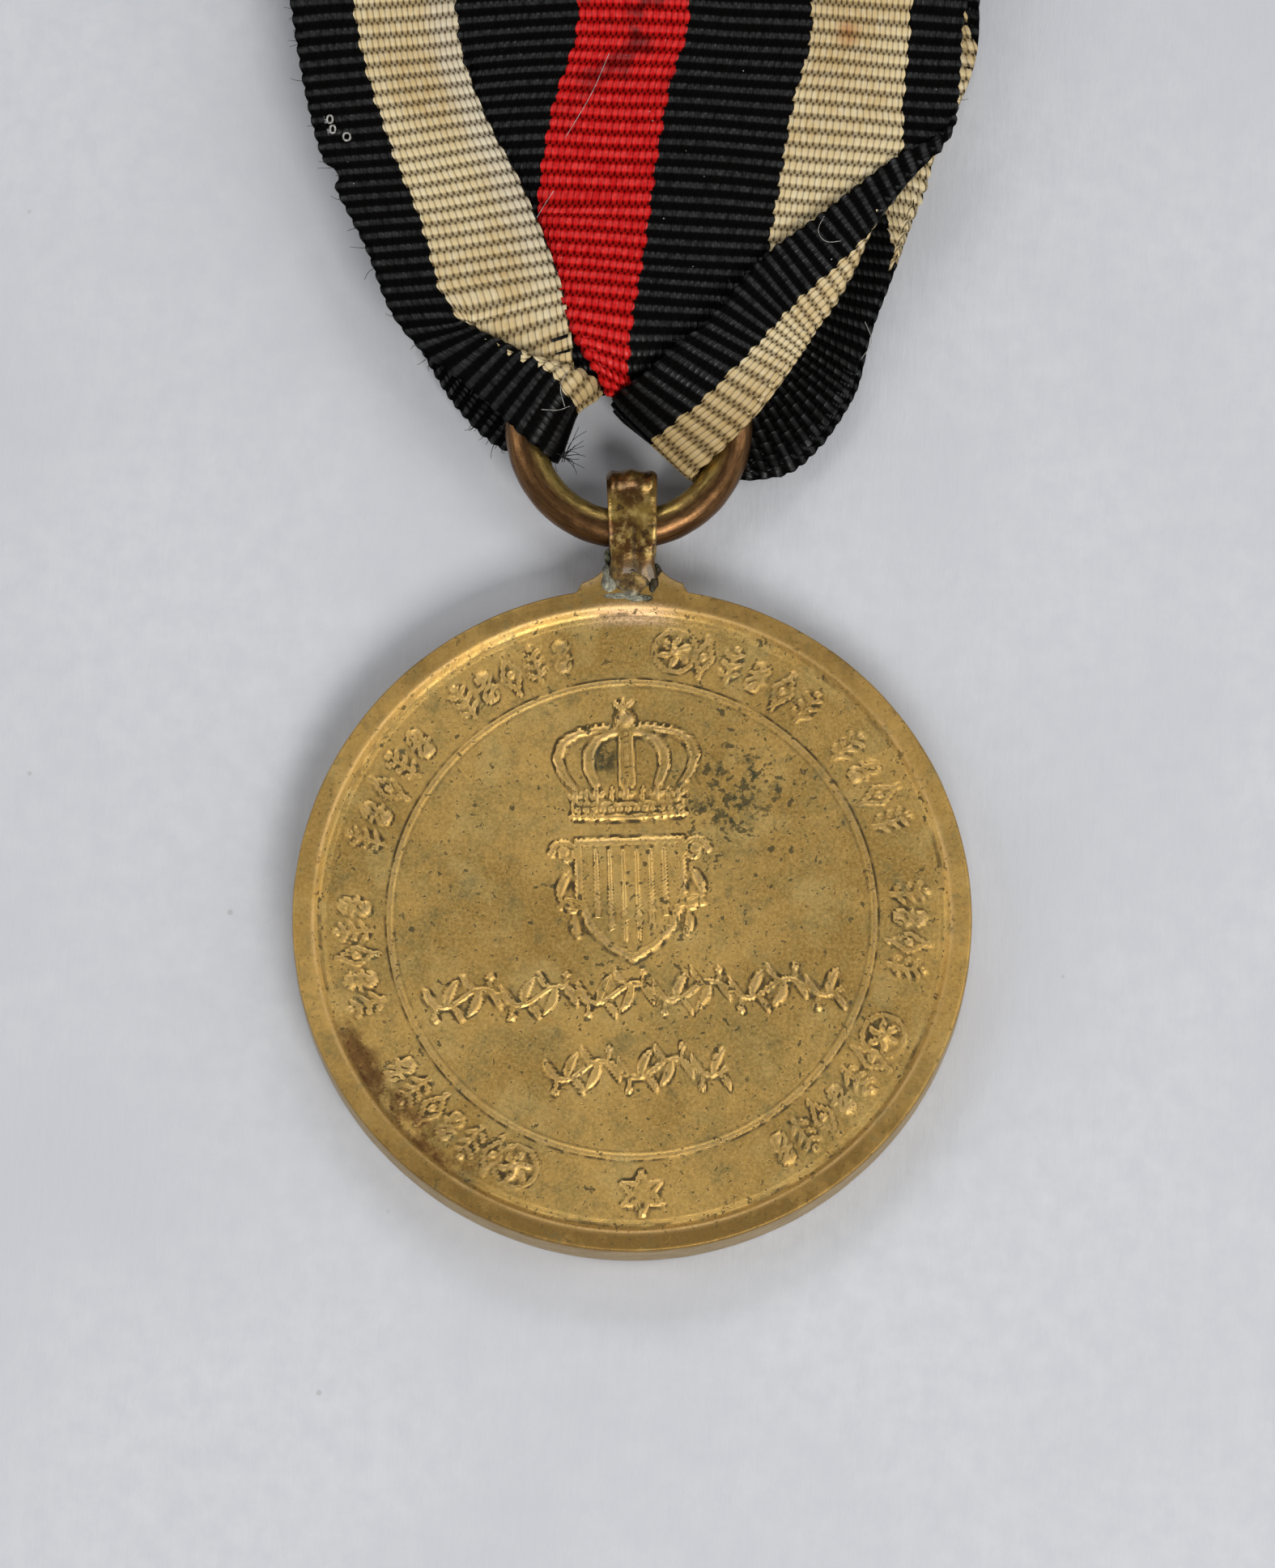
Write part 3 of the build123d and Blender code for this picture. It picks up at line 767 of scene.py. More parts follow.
def eyelet_path():
    """Middle line of the strap as y, z: up the front, over the ring and down the back."""
    front = [(14.5, 0.30), (14.85, 0.58), (15.3, 0.88), (15.9, 1.10), (16.4, 1.25), (17.0, EYE_MID_R)]
    behind = [(15.2, 1.0), (15.6, 1.04), (16.4, 1.24), (17.0, EYE_MID_R)]
    top_y = EYE_Y + EYE_STRAIGHT
    half_turn = np.linspace(0, math.pi, 19)
    over = [(top_y + EYE_MID_R * math.sin(a), EYE_MID_R * math.cos(a)) for a in half_turn]
    back = [(y, -z) for y, z in reversed(behind)]
    points = np.array(front + over + back)
    length = np.concatenate([[0], np.cumsum(np.hypot(*np.diff(points, axis=0).T))])
    s = np.linspace(0, length[-1], 150)
    y, z = (np.interp(s, length, column) for column in points.T)
    return np.stack([y, z + EYE_Z], axis=1), s / length[-1]


def make_eyelet():
    """The strap, with folded lobes over its top and a crease down its front, and its core."""
    path, s = eyelet_path()
    for _ in range(6):
        path[1:-1] = (path[:-2] + path[1:-1] * 2 + path[2:]) / 4
    along = np.gradient(path, axis=0)
    along /= np.linalg.norm(along, axis=1)[:, None]
    out = np.stack([-along[:, 1], along[:, 0]], axis=1)
    sides = 72
    b = np.linspace(0, 2 * math.pi, sides, endpoint=False)
    cx = np.sign(np.cos(b)) * np.abs(np.cos(b)) ** 0.42
    ct = np.sign(np.sin(b)) * np.abs(np.sin(b)) ** 0.62
    front_neck, back_neck = (np.exp(-((s - at) / 0.06) ** 2) for at in (0.12, 0.93))
    width = EYE_HALF_W * (1 - 0.05 * np.sin(math.pi * 2 * s) ** 2) - 0.14 * front_neck - 0.1 * back_neck
    x = width[:, None] * cx + 0.02 * np.sin(9 * s)[:, None]
    fold = np.exp(-(((s - 0.47) / 0.16) ** 2))[:, None]
    lobes = 0.075 * np.cos(2 * math.pi * x / 1.0) - 0.22 * np.abs(x / EYE_HALF_W) ** 6
    groove = -0.13 * np.exp(-(((x - 0.06 * np.sin(14 * s)[:, None] - 0.06) / 0.14) ** 2))
    rough = 0.016 * np.sin(4.1 * x + 19 * s[:, None]) + 0.012 * np.sin(7.7 * x - 31 * s[:, None] + 1)
    outer = smoothstep(ct)[None, :]
    thick = EYE_HALF_T * ct + outer * (fold * lobes + (1 - fold) * groove + rough)
    y = path[:, :1] + out[:, :1] * thick
    z = path[:, 1:] + out[:, 1:] * thick
    verts = np.stack([x, y, z], axis=2).reshape(-1, 3)
    steps = len(path)
    faces = grid_faces(steps, sides, wrap_cols=True, flip=True)
    faces += [list(range(sides))[::-1], [(steps - 1) * sides + k for k in range(sides)]]
    # the two legs are pressed together over a core at the foot
    count, levels = len(verts), ((15.15, 1.0, 0.98), (15.6, 1.0, 1.0), (15.95, 0.95, 1.0),
                                 (16.05, 0.6, 0.95))
    core = []
    for y0, half_z, half_x in levels:
        for t in np.linspace(0, 2 * math.pi, CORE_SIDES, endpoint=False):
            cz = math.copysign(abs(math.sin(t)) ** 0.5, math.sin(t))
            cw = math.copysign(abs(math.cos(t)) ** 0.4, math.cos(t))
            dip = 0.14 * (1 - min(1, abs(half_z * cz))) if y0 > 16 else 0
            core.append((half_x * cw, y0 - dip, EYE_Z + half_z * cz))
    faces += grid_faces(len(levels), CORE_SIDES, first=count, wrap_cols=True)
    last = count + (len(levels) - 1) * CORE_SIDES
    faces += [[count + k for k in range(CORE_SIDES)], [last + k for k in range(CORE_SIDES)][::-1]]
    return np.vstack([verts, core]), faces


def old_eyelet():
    """Brown and gold blotches, dark in the crease, over the top and at the foot."""
    p = Paint("eyelet_bronze")
    blotch = p.noise(0.95, 3.0, 0.6, seed=1.6)
    fine = p.noise(2.6, 3.0, 0.6, seed=2.0)
    p.colour = p.blend(p.span(blotch, 0.38, 0.60), (0.130, 0.056, 0.012), (0.42, 0.265, 0.060))
    p.coat(p.span(fine, 0.46, 0.66, 0, 0.75), (0.60, 0.42, 0.14))
    p.coat(p.span(p.noise(1.9, 3.0, 0.6, seed=5.0), 0.55, 0.66, 0, 0.85), (0.06, 0.028, 0.012))
    x, y, z = p.parts()
    top = p.span(y, 17.5, 18.6) * p.span(blotch, 0.34, 0.56, 0.95, 0.62)
    p.coat(top, (0.10, 0.044, 0.010))
    split = p.span(abs(x - 0.08), 0.16, 0.02) * p.span(y, 17.6, 16.6)
    p.coat(split * 0.75, (0.06, 0.03, 0.014))
    low = p.span(y, 16.1, 15.2)
    p.coat(low * p.span(fine, 0.35, 0.6, 0.55, 0.95), (0.045, 0.028, 0.012))
    rough = p.span(fine, 0.3, 0.7, 0.18, 0.36) + low * 0.25
    bump = p.bump(p.noise(2.0, 3.0, 0.5, seed=8.0), 0.05)
    return p.finish(Metallic=0.8, Roughness=rough, Coat_Weight=0.2, Coat_Roughness=0.15, Normal=bump)


make_object("eyelet_strap", *make_eyelet(), old_eyelet(), "medal", "eyelet_bronze", ["eyelet"])

# ---------------------------------------------------------------- solder
SOLDER = [
    # x, y, z, half sizes x, y, z: the mass under the strap, flanks, crusts
    (-0.02, 14.86, 1.90, 1.02, 0.92, 0.66),
    (-1.00, 15.25, 1.70, 0.30, 0.44, 0.78),
    (1.04, 15.25, 1.66, 0.26, 0.40, 0.78),
    (-0.98, 14.78, 2.04, 0.40, 0.76, 0.38),
    (-1.04, 15.90, 2.10, 0.18, 0.34, 0.34),
    (-0.72, 14.10, 2.22, 0.60, 0.17, 0.13),
    (0.18, 14.02, 2.22, 0.62, 0.19, 0.15),
    (0.62, 14.00, 2.26, 0.26, 0.15, 0.15),
    (0.90, 14.72, 2.06, 0.26, 0.66, 0.34),
]


def make_solder():
    """Rounded lumps with uneven skins that run into one another."""
    verts, faces = [], []
    rows, cols = 40, 56
    for n, (x, y, z, hx, hy, hz) in enumerate(SOLDER):
        a = np.linspace(0.02, math.pi - 0.02, rows)[:, None]
        b = np.linspace(0, 2 * math.pi, cols, endpoint=False)[None, :]
        lump = 1 + 0.07 * np.sin(3 * b + n) * np.sin(2 * a) + 0.035 * np.sin(5 * b + 2.3 * n + 3 * a)
        lump = lump + 0.012 * np.cos(9 * b - 4 * a) * np.sin(a)
        block = np.stack([x + hx * lump * np.sin(a) * np.cos(b), y + hy * lump * np.sin(a) * np.sin(b),
                          z + hz * lump * np.cos(a) * np.ones_like(b)], axis=2)
        first = n * rows * cols
        faces += grid_faces(rows, cols, first=first, wrap_cols=True)
        faces += [[first + k for k in range(cols)][::-1],
                  [first + (rows - 1) * cols + k for k in range(cols)]]
        verts.append(block.reshape(-1, 3))
    return np.concatenate(verts), faces


def tin():
    """Grey solder on the left and below, bronze-brown in the middle, black grime on the right."""
    p = Paint("solder")
    x, y, z = p.parts()
    blotch = p.noise(2.2, 5.0, 0.65)
    wander = (p.noise(1.7, 3.0, seed=12.0) - 0.5) * 1.6
    grey = p.blend(p.span(blotch, 0.38, 0.62), (0.10, 0.095, 0.070), (0.25, 0.24, 0.18))
    brown = p.blend(p.span(blotch, 0.38, 0.62), (0.055, 0.028, 0.010), (0.24, 0.155, 0.048))
    middle = p.span(x + wander, -0.75, -0.35) * p.span(y + wander * 0.3, 14.15, 14.4)
    p.colour = p.blend(middle, grey, brown)
    grime = p.span(x + wander * 0.4, 0.5, 0.7) * p.span(p.noise(2.4, 3.0, seed=3.0), 0.26, 0.42)
    p.coat(grime * 0.9, (0.022, 0.02, 0.012))
    crust = p.span(y, 15.3, 15.8) * p.span(p.noise(3.4, 4.0, seed=3.0), 0.44, 0.58, 0, 0.9)
    p.coat(crust, (0.05, 0.055, 0.025))
    p.coat(p.span(p.noise(4.4, 3.0, seed=6.0), 0.58, 0.68, 0, 0.8), (0.07, 0.05, 0.03))
    rough = p.span(blotch, 0.3, 0.7, 0.44, 0.60)
    bump = p.bump(p.noise(4.0, 3.0, 0.6, seed=9.0), 0.03)
    return p.finish(Metallic=0.7, Roughness=rough, Normal=bump)


make_object("solder_lumps", *make_solder(), tin(), "medal", "solder", ["solder_seam"])

# ---------------------------------------------------------------- ribbon
RIBBON_W, RIB_PITCH, FLOAT_PITCH = 30.7, 0.63, 0.28
ROW_PITCH = RIB_PITCH / 4
HALF_W = RIBBON_W / 2
STRIPE_ENDS = (2.66, 7.51, 12.87)  # of black, cream and black, from either selvage; red is between
TOP_START, T_END = -34.0, 66.0

# Lines drawn along the cloth, each as points (t, x, y, z) of its middle surface: t is the length
# of ribbon from a rib across the visible front, negative upwards. Fold lines count as lines too.
FRONT = {
    "selvage_left": [
        (0.0, -14.6, 38.9, 3.35), (5.2, -13.5, 33.7, 3.25), (10.2, -11.4, 29.2, 3.1),
        (12.9, -10.4, 26.6, 3.0), (14.7, -9.0, 24.8, 2.95), (16.2, -7.2, 23.4, 3.0),
        (17.8, -5.8, 22.1, 3.15), (19.0, -4.8, 21.1, 3.2), (19.9, -4.0, 20.5, 2.9),
        (20.7, -3.3, 20.2, 1.95),
    ],
    "black_cream": [
        (0.0, -11.9, 39.1, 3.35), (5.3, -10.4, 33.9, 3.3), (9.0, -9.1, 30.5, 3.2),
        (12.4, -8.2, 27.2, 3.15), (13.8, -7.6, 25.9, 3.25), (15.3, -6.3, 25.3, 3.6),
        (16.9, -4.9, 24.5, 3.95), (17.9, -4.0, 24.0, 4.0), (19.2, -3.2, 23.2, 3.8),
        (19.9, -2.8, 22.7, 3.2), (20.7, -2.5, 22.5, 2.1),
    ],
    "band_crest": [
        (13.8, -7.4, 26.0, 3.35), (15.3, -6.1, 25.4, 3.75), (16.9, -4.7, 24.6, 4.15),
        (17.9, -3.5, 24.2, 4.2), (19.2, -2.4, 23.8, 4.05), (20.0, -1.7, 23.6, 3.4),
        (20.7, -1.2, 23.3, 2.2),
    ],
    "band_valley": [
        (13.5, -7.0, 26.1, 3.0), (15.3, -5.8, 23.9, 2.85), (16.9, -5.4, 23.2, 2.8),
        (17.9, -4.5, 22.4, 2.7), (18.8, -3.8, 22.3, 2.2), (19.5, -3.3, 22.4, 1.6),
    ],
    "cream_crest": [
        (0.0, -7.6, 39.5, 3.6), (4.7, -6.1, 35.0, 3.6), (8.0, -4.6, 32.0, 3.6), (10.8, -3.5, 29.4, 3.65),
        (14.1, -2.6, 26.2, 3.95), (15.6, -2.4, 24.6, 3.85), (16.5, -2.4, 23.9, 3.3),
        (17.8, -2.3, 23.2, 2.0),
    ],
    "black_valley": [
        (0.0, -6.9, 39.6, 3.45), (4.7, -7.5, 35.1, 3.2), (8.0, -6.9, 32.0, 3.1),
        (10.8, -5.9, 29.3, 3.15), (14.1, -4.0, 26.1, 3.5), (15.6, -3.5, 24.6, 3.45),
        (16.7, -3.1, 23.8, 3.0), (17.8, -2.7, 23.3, 1.8),
    ],
    "black_red": [
        (0.0, -2.3, 39.9, 3.4), (4.7, -3.5, 35.3, 3.35), (8.7, -4.0, 31.3, 3.3), (11.4, -2.8, 28.7, 3.3),
        (13.9, -1.6, 26.1, 3.6), (15.2, -1.1, 25.1, 3.45), (16.6, -0.9, 24.0, 2.9),
        (17.8, -0.8, 23.4, 1.9),
    ],
    "red_crest": [
        (9.2, -4.05, 30.8, 3.45), (11.4, -3.6, 28.7, 3.6), (13.9, -2.9, 26.2, 3.95),
        (15.2, -2.4, 25.0, 3.9), (16.6, -1.6, 23.9, 3.4), (17.8, -1.1, 23.2, 2.1),
    ],
    "red_black": [
        (0.0, 2.4, 39.8, 3.4), (3.1, 1.6, 36.7, 3.35), (7.3, 0.9, 32.5, 3.3), (11.0, 0.4, 28.7, 3.35),
        (12.8, 0.1, 27.0, 3.6), (14.2, -0.1, 25.5, 3.65), (15.6, -0.2, 24.2, 3.2),
        (16.9, 0.0, 23.3, 2.0),
    ],
    "black_cream_2": [
        (0.0, 7.8, 39.4, 3.4), (3.9, 6.9, 35.5, 3.35), (8.1, 6.2, 31.3, 3.25), (10.9, 5.7, 28.6, 3.2),
        (14.2, 5.1, 25.5, 3.3), (17.8, 4.3, 22.9, 3.4), (19.9, 3.0, 21.5, 3.1), (21.3, 2.2, 20.8, 2.0),
    ],
    "flap_crease": [
        (0.0, 13.9, 38.9, 3.4), (2.5, 13.8, 36.4, 3.4), (3.7, 13.8, 35.1, 3.42), (7.1, 11.7, 31.8, 3.45),
        (9.0, 10.5, 30.2, 3.4), (11.0, 9.7, 28.4, 3.4), (14.2, 8.0, 25.6, 3.45), (17.8, 6.8, 23.6, 3.6),
        (19.9, 5.3, 21.6, 3.5), (21.3, 4.1, 20.5, 3.25), (22.9, 2.6, 19.4, 2.1),
    ],
    "selvage_right": [
        (0.0, 14.3, 38.9, 3.4), (1.8, 14.2, 37.1, 3.4), (3.7, 14.0, 35.2, 3.45), (7.1, 11.1, 33.1, 3.6),
        (11.0, 7.9, 30.5, 3.65), (13.7, 5.9, 29.0, 3.75), (17.8, 3.0, 25.6, 4.1), (19.2, 1.8, 24.7, 4.1),
        (20.7, 0.7, 23.7, 3.7), (22.0, -0.3, 23.2, 2.8), (23.0, -0.8, 22.9, 1.9),
    ],
}
# The same for the back layer, under the ring and up to the hem; "middle" only guides the rest.
BACK = {
    "selvage_left": [
        (21.8, -4.2, 20.6, 0.95), (23.2, -5.5, 21.0, 0.85), (26.0, -7.4, 22.7, 0.75),
        (29.5, -9.0, 25.3, 0.65), (36.0, -11.6, 31.5, 0.55), (45.0, -14.0, 38.5, 0.5),
        (54.0, -15.35, 46.0, 0.5),
    ],
    "cream_crest": [
        (19.0, -2.5, 23.9, 1.1), (21.0, -3.2, 25.2, 1.15), (26.0, -4.6, 27.3, 0.9),
        (30.0, -5.4, 29.5, 0.6), (36.0, -6.4, 33.5, 0.55), (45.0, -7.4, 39.5, 0.5),
        (54.0, -7.84, 46.0, 0.5),
    ],
    "middle": [
        (18.5, -0.4, 23.8, 1.1), (21.0, -0.3, 25.6, 1.2), (26.0, -0.1, 28.0, 0.95),
        (30.0, 0.0, 30.0, 0.6), (36.0, 0.0, 34.2, 0.55), (45.0, 0.0, 40.0, 0.5), (54.0, 0.0, 46.0, 0.5),
    ],
    "black_cream_2": [
        (22.3, 2.6, 21.4, 1.1), (24.0, 3.3, 22.3, 0.95), (26.0, 4.2, 23.2, 0.95),
        (30.0, 6.0, 24.6, 1.06), (33.0, 7.2, 25.8, 1.08), (37.5, 8.3, 28.9, 1.02),
        (43.0, 8.6, 34.5, 0.85), (50.0, 8.4, 41.0, 0.55), (54.0, 7.83, 46.0, 0.5),
    ],
    "flap_crease": [
        (24.2, 3.6, 19.3, 1.0), (25.5, 4.8, 19.5, 0.85), (26.5, 5.9, 19.5, 0.95), (27.8, 7.1, 20.0, 1.0),
        (29.5, 8.3, 21.1, 1.0), (31.2, 9.3, 22.5, 1.0), (32.8, 9.9, 23.7, 1.0), (35.2, 10.5, 26.2, 1.0),
        (37.5, 11.3, 28.4, 1.0), (40.6, 12.3, 31.3, 0.95), (43.0, 13.1, 33.6, 0.85),
        (50.0, 15.35, 40.2, 0.6), (54.0, 14.85, 46.0, 0.5),
    ],
    "selvage_right": [
        (24.3, -0.6, 22.6, 1.0), (26.0, 0.4, 22.8, 0.62), (29.0, 1.8, 23.6, 0.34),
        (33.0, 3.0, 26.0, 0.32), (37.5, 4.8, 29.3, 0.32), (43.0, 8.2, 34.6, 0.34),
        (50.0, 14.0, 40.8, 0.45), (54.0, 15.35, 46.0, 0.5),
    ],
}
# Distance of each line from the left selvage, in mm, where it moves over the cloth, by t.
ACROSS = {
    "selvage_left": [(0, 0.0)],
    "black_cream": [(12.0, 2.66), (13.8, 2.3), (16.6, 2.3), (17.9, 2.6), (19.2, 2.66)],
    "band_crest": [(12.0, 2.9), (13.8, 2.5), (16.6, 2.55), (17.9, 3.0), (19.2, 3.5), (20.7, 4.2)],
    "band_valley": [(13.5, 3.5), (15.3, 4.3), (16.9, 4.5), (17.9, 5.3), (18.8, 5.6), (19.5, 5.8)],
    "cream_crest": [(0, 7.51)],
    "black_valley": [(0.0, 8.2), (4.7, 8.8), (8.0, 9.8), (10.8, 10.0), (14.1, 9.8), (17.8, 9.5)],
    "black_red": [(0, 12.87)],
    "red_crest": [(9.2, 13.2), (11.4, 13.95), (13.9, 15.1), (15.2, 15.8), (16.6, 16.4), (17.8, 16.8)],
    "red_black": [(0, 17.82)],
    "black_cream_2": [
        (21.3, 23.18), (25.6, 18.3), (33.0, 18.2), (37.5, 19.3), (43.0, 21.0), (50.0, 23.18),
    ],
    "flap_crease": [
        (3.7, 30.2), (7.1, 28.75), (9.0, 28.03), (11.0, 27.2), (14.2, 26.4), (17.8, 25.85), (22.9, 25.6),
        (25.2, 20.8), (27.8, 20.2), (33.0, 20.6), (37.5, 22.6), (40.6, 24.7), (43.0, 25.8), (50.0, 28.5),
        (54.0, 30.2),
    ],
    "selvage_right": [(0, RIBBON_W)],
}
LINES = list(FRONT)
# Lines of a pleat, between these two others before it starts
PLEATS = {"band_crest": ("black_cream", "cream_crest"), "band_valley": ("black_cream", "cream_crest"),
          "red_crest": ("black_red", "red_black")}
WORN_HOLES = [(3.6, 1, 2), (4.1, 1, 2), (4.5, 2, 1)]  # t, mesh column, and rows tall
COLUMNS = (6, 3, 5, 6, 5, 6, 5, 8, 10, 8, 10)  # mesh columns between one line and the next
TUCKED = sum(COLUMNS[:9]) + 1  # first column of the cream stripe where it is tucked into the ring
BACK_STATIONS = (27.0, 31.0, 36.0, 43.0, 50.0, 54.0)
# t, y and z where the cloth lies straight: folded over at the top, and turned under at the hem
TOP = [(TOP_START, 58.0, 3.3), (-26.4, 65.5, 3.3), (-26.0, 65.75, 3.52), (-25.6, 65.5, 3.75),
       (-16.0, 56.0, 3.75), (-5.8, 45.8, 3.5)]
HEM = [(60.0, 56.0, 2.85), (65.0, 63.5, 2.83), (T_END, 65.3, 2.83)]


def through(t, points):
    """A smooth monotone curve through (t, ...) points, sampled at t."""
    pts = np.asarray(points, dtype=float)
    tk, yk = pts[:, 0], pts[:, 1:]
    if len(pts) == 1:
        return np.repeat(yk, len(t), axis=0)
    step = np.diff(tk)[:, None]
    slope = np.diff(yk, axis=0) / step
    tangent = np.zeros_like(yk)
    tangent[0], tangent[-1] = slope[0], slope[-1]
    a, b = slope[:-1], slope[1:]
    w1, w2 = 2 * step[1:] + step[:-1], step[1:] + 2 * step[:-1]
    same = a * b > 0
    safe_a, safe_b = np.where(same, a, 1), np.where(same, b, 1)
    tangent[1:-1] = np.where(same, (w1 + w2) / (w1 / safe_a + w2 / safe_b), 0)
    i = np.clip(np.searchsorted(tk, t) - 1, 0, len(step) - 1)
    h, s = step[i], np.clip(((t - tk[i]) / step[i, 0])[:, None], 0, 1)
    return (
        (1 + 2 * s) * (1 - s) ** 2 * yk[i] + s * (1 - s) ** 2 * h * tangent[i]
        + s * s * (3 - 2 * s) * yk[i + 1] + s * s * (s - 1) * h * tangent[i + 1]
    )


def ribbon_lines(t):
    """Where each line lies at every t, and how far across the cloth it runs."""
    across = {name: through(t, ACROSS[name])[:, 0] for name in LINES}
    back_u = {name: ACROSS.get(name, [(0, HALF_W)]) for name in BACK}

    def straight(u, points):
        return [(at, u - HALF_W, y, z) for at, y, z in points]

    stations = np.array(BACK_STATIONS)
    back_at = {name: through(stations, points) for name, points in BACK.items()}
    back_across = {name: through(stations, points)[:, 0] for name, points in back_u.items()}
    place = {}
    for name in LINES:
        points = list(FRONT[name])
        u_top, u_end = across[name][0], across[name][-1]
        if name not in PLEATS:
            points = straight(u_top, TOP) + points
        if name in BACK:
            points += BACK[name]
        else:
            u_here = through(stations, ACROSS[name])[:, 0]
            for k, at in enumerate(BACK_STATIONS):
                us = [back_across[other][k] for other in BACK]
                known = np.array([back_at[other][k] for other in BACK])
                points.append((at, *(np.interp(u_here[k], us, column) for column in known.T)))
        place[name] = through(t, points + straight(u_end, HEM))
    for name, (left, right) in PLEATS.items():
        share = ((across[name] - across[left]) / (across[right] - across[left]))[:, None]
        flat = place[left] + share * (place[right] - place[left])
        start = FRONT[name][0][0]
        mix = smoothstep((t - start + 1.2) / 1.4)[:, None]
        place[name] = flat + mix * (place[name] - flat)
    return place, across


def soften(rows, across, u_out):
    """Rounds the folds of each cross line: resampled evenly across the cloth and smoothed."""
    pitch, margin, sigma = 0.08, 1.0, 0.2
    even = np.arange(-margin, RIBBON_W + margin + pitch / 2, pitch)
    kernel = np.exp(-0.5 * (np.arange(-12, 13) * pitch / sigma) ** 2)
    kernel /= kernel.sum()
    low, high = even < 0, even > RIBBON_W
    result = np.empty((len(rows), u_out.shape[1], 3))
    for r in range(len(rows)):
        for axis in range(3):
            known = rows[r, :, axis]
            line = np.interp(even, across[r], known)
            line[low] = 2 * known[0] - np.interp(-even[low], across[r], known)
            line[high] = 2 * known[-1] - np.interp(2 * RIBBON_W - even[high], across[r], known)
            result[r, :, axis] = np.interp(u_out[r], even, np.convolve(line, kernel, mode="same"))
    return result


def make_ribbon():
    """The folded cloth with its thickness; also its length, middle surface and edge directions."""
    t = np.arange(TOP_START, T_END, ROW_PITCH)
    place, across = ribbon_lines(t)
    us = np.stack([across[name] for name in LINES], axis=1)
    for k in range(1, us.shape[1]):
        us[:, k] = np.maximum(us[:, k], us[:, k - 1] + 0.12)
    rows = np.stack([place[name] for name in LINES], axis=1)
    columns = []
    for k, count in enumerate(COLUMNS):
        share = np.linspace(0, 1, count, endpoint=False)
        columns.append(us[:, k:k + 1] + share * (us[:, k + 1:k + 2] - us[:, k:k + 1]))
    u = np.concatenate(columns + [us[:, -1:]], axis=1)
    mid = soften(rows, us, u)
    # a little slack in the cloth
    wave = 0.10 * np.sin(0.55 * u + 0.33 * t[:, None] + 0.6) + 0.07 * np.sin(0.9 * u - 0.61 * t[:, None])
    calm = smoothstep((16.0 - t) / 6.0) * smoothstep((t + 18.0) / 8.0)
    mid[:, :, 2] += wave * calm[:, None]

    v = np.repeat(t[:, None], u.shape[1], axis=1)

    along = np.gradient(mid, axis=0)
    side = np.gradient(mid, axis=1)
    normal = np.cross(along, side)
    normal /= np.linalg.norm(normal, axis=2)[:, :, None] + 1e-9
    rib = (0.5 + 0.5 * np.cos(2 * math.pi * v / RIB_PITCH)) ** 0.6
    half = 0.09 + 0.13 * rib * (1 + 0.12 * np.sin(1.9 * v + 0.4 * u))
    half[:, [0, -1]] *= 0.6
    half[[0, -1]] *= 0.5
    out = side / (np.linalg.norm(side, axis=2)[:, :, None] + 1e-9)
    mid[:, 0] -= out[:, 0] * (0.10 * rib[:, :1] - 0.02)
    mid[:, -1] += out[:, -1] * (0.10 * rib[:, -1:] - 0.02)
    # frayed notch in the left selvage
    notch = np.exp(-((v[:, 0] - 6.3) / 0.42) ** 2)[:, None]
    mid[:, 0] += out[:, 0] * 0.45 * notch
    mid[:, 1] += out[:, 1] * 0.15 * notch

    n_rows, n_cols = u.shape
    off = normal * half[:, :, None]
    top, low = (mid + off).reshape(-1, 3), (mid - off).reshape(-1, 3)
    block = n_rows * n_cols
    faces = grid_faces(n_rows, n_cols) + grid_faces(n_rows, n_cols, first=block, flip=True)
    gone = set()
    for at, col, tall in WORN_HOLES:
        row = int(np.searchsorted(t, at))
        gone |= {r * (n_cols - 1) + col for r in range(row, row + tall)}
        ring = [r * n_cols + col for r in range(row, row + tall + 1)]
        ring += [r * n_cols + col + 1 for r in range(row + tall, row - 1, -1)]
        faces += [[a, b, b + block, a + block] for a, b in zip(ring, ring[1:] + ring[:1])]
    sheet_quads = (n_rows - 1) * (n_cols - 1)
    faces = [f for k, f in enumerate(faces) if k >= 2 * sheet_quads or k % sheet_quads not in gone]
    index = np.arange(block).reshape(n_rows, n_cols)
    rim = [*index[0], *index[1:, -1], *index[-1, -2::-1], *index[-2:0:-1, 0]]
    rim = [int(k) for k in rim]
    faces += [[b, a, a + block, b + block] for a, b in zip(rim, rim[1:] + rim[:1])]
    uv = np.stack([u.ravel(), v.ravel()], axis=1)
    length = float(np.linalg.norm(np.diff(mid, axis=0), axis=2).sum(axis=0).mean())
    return np.concatenate([top, low]), faces, np.concatenate([uv, uv]), length, mid, out


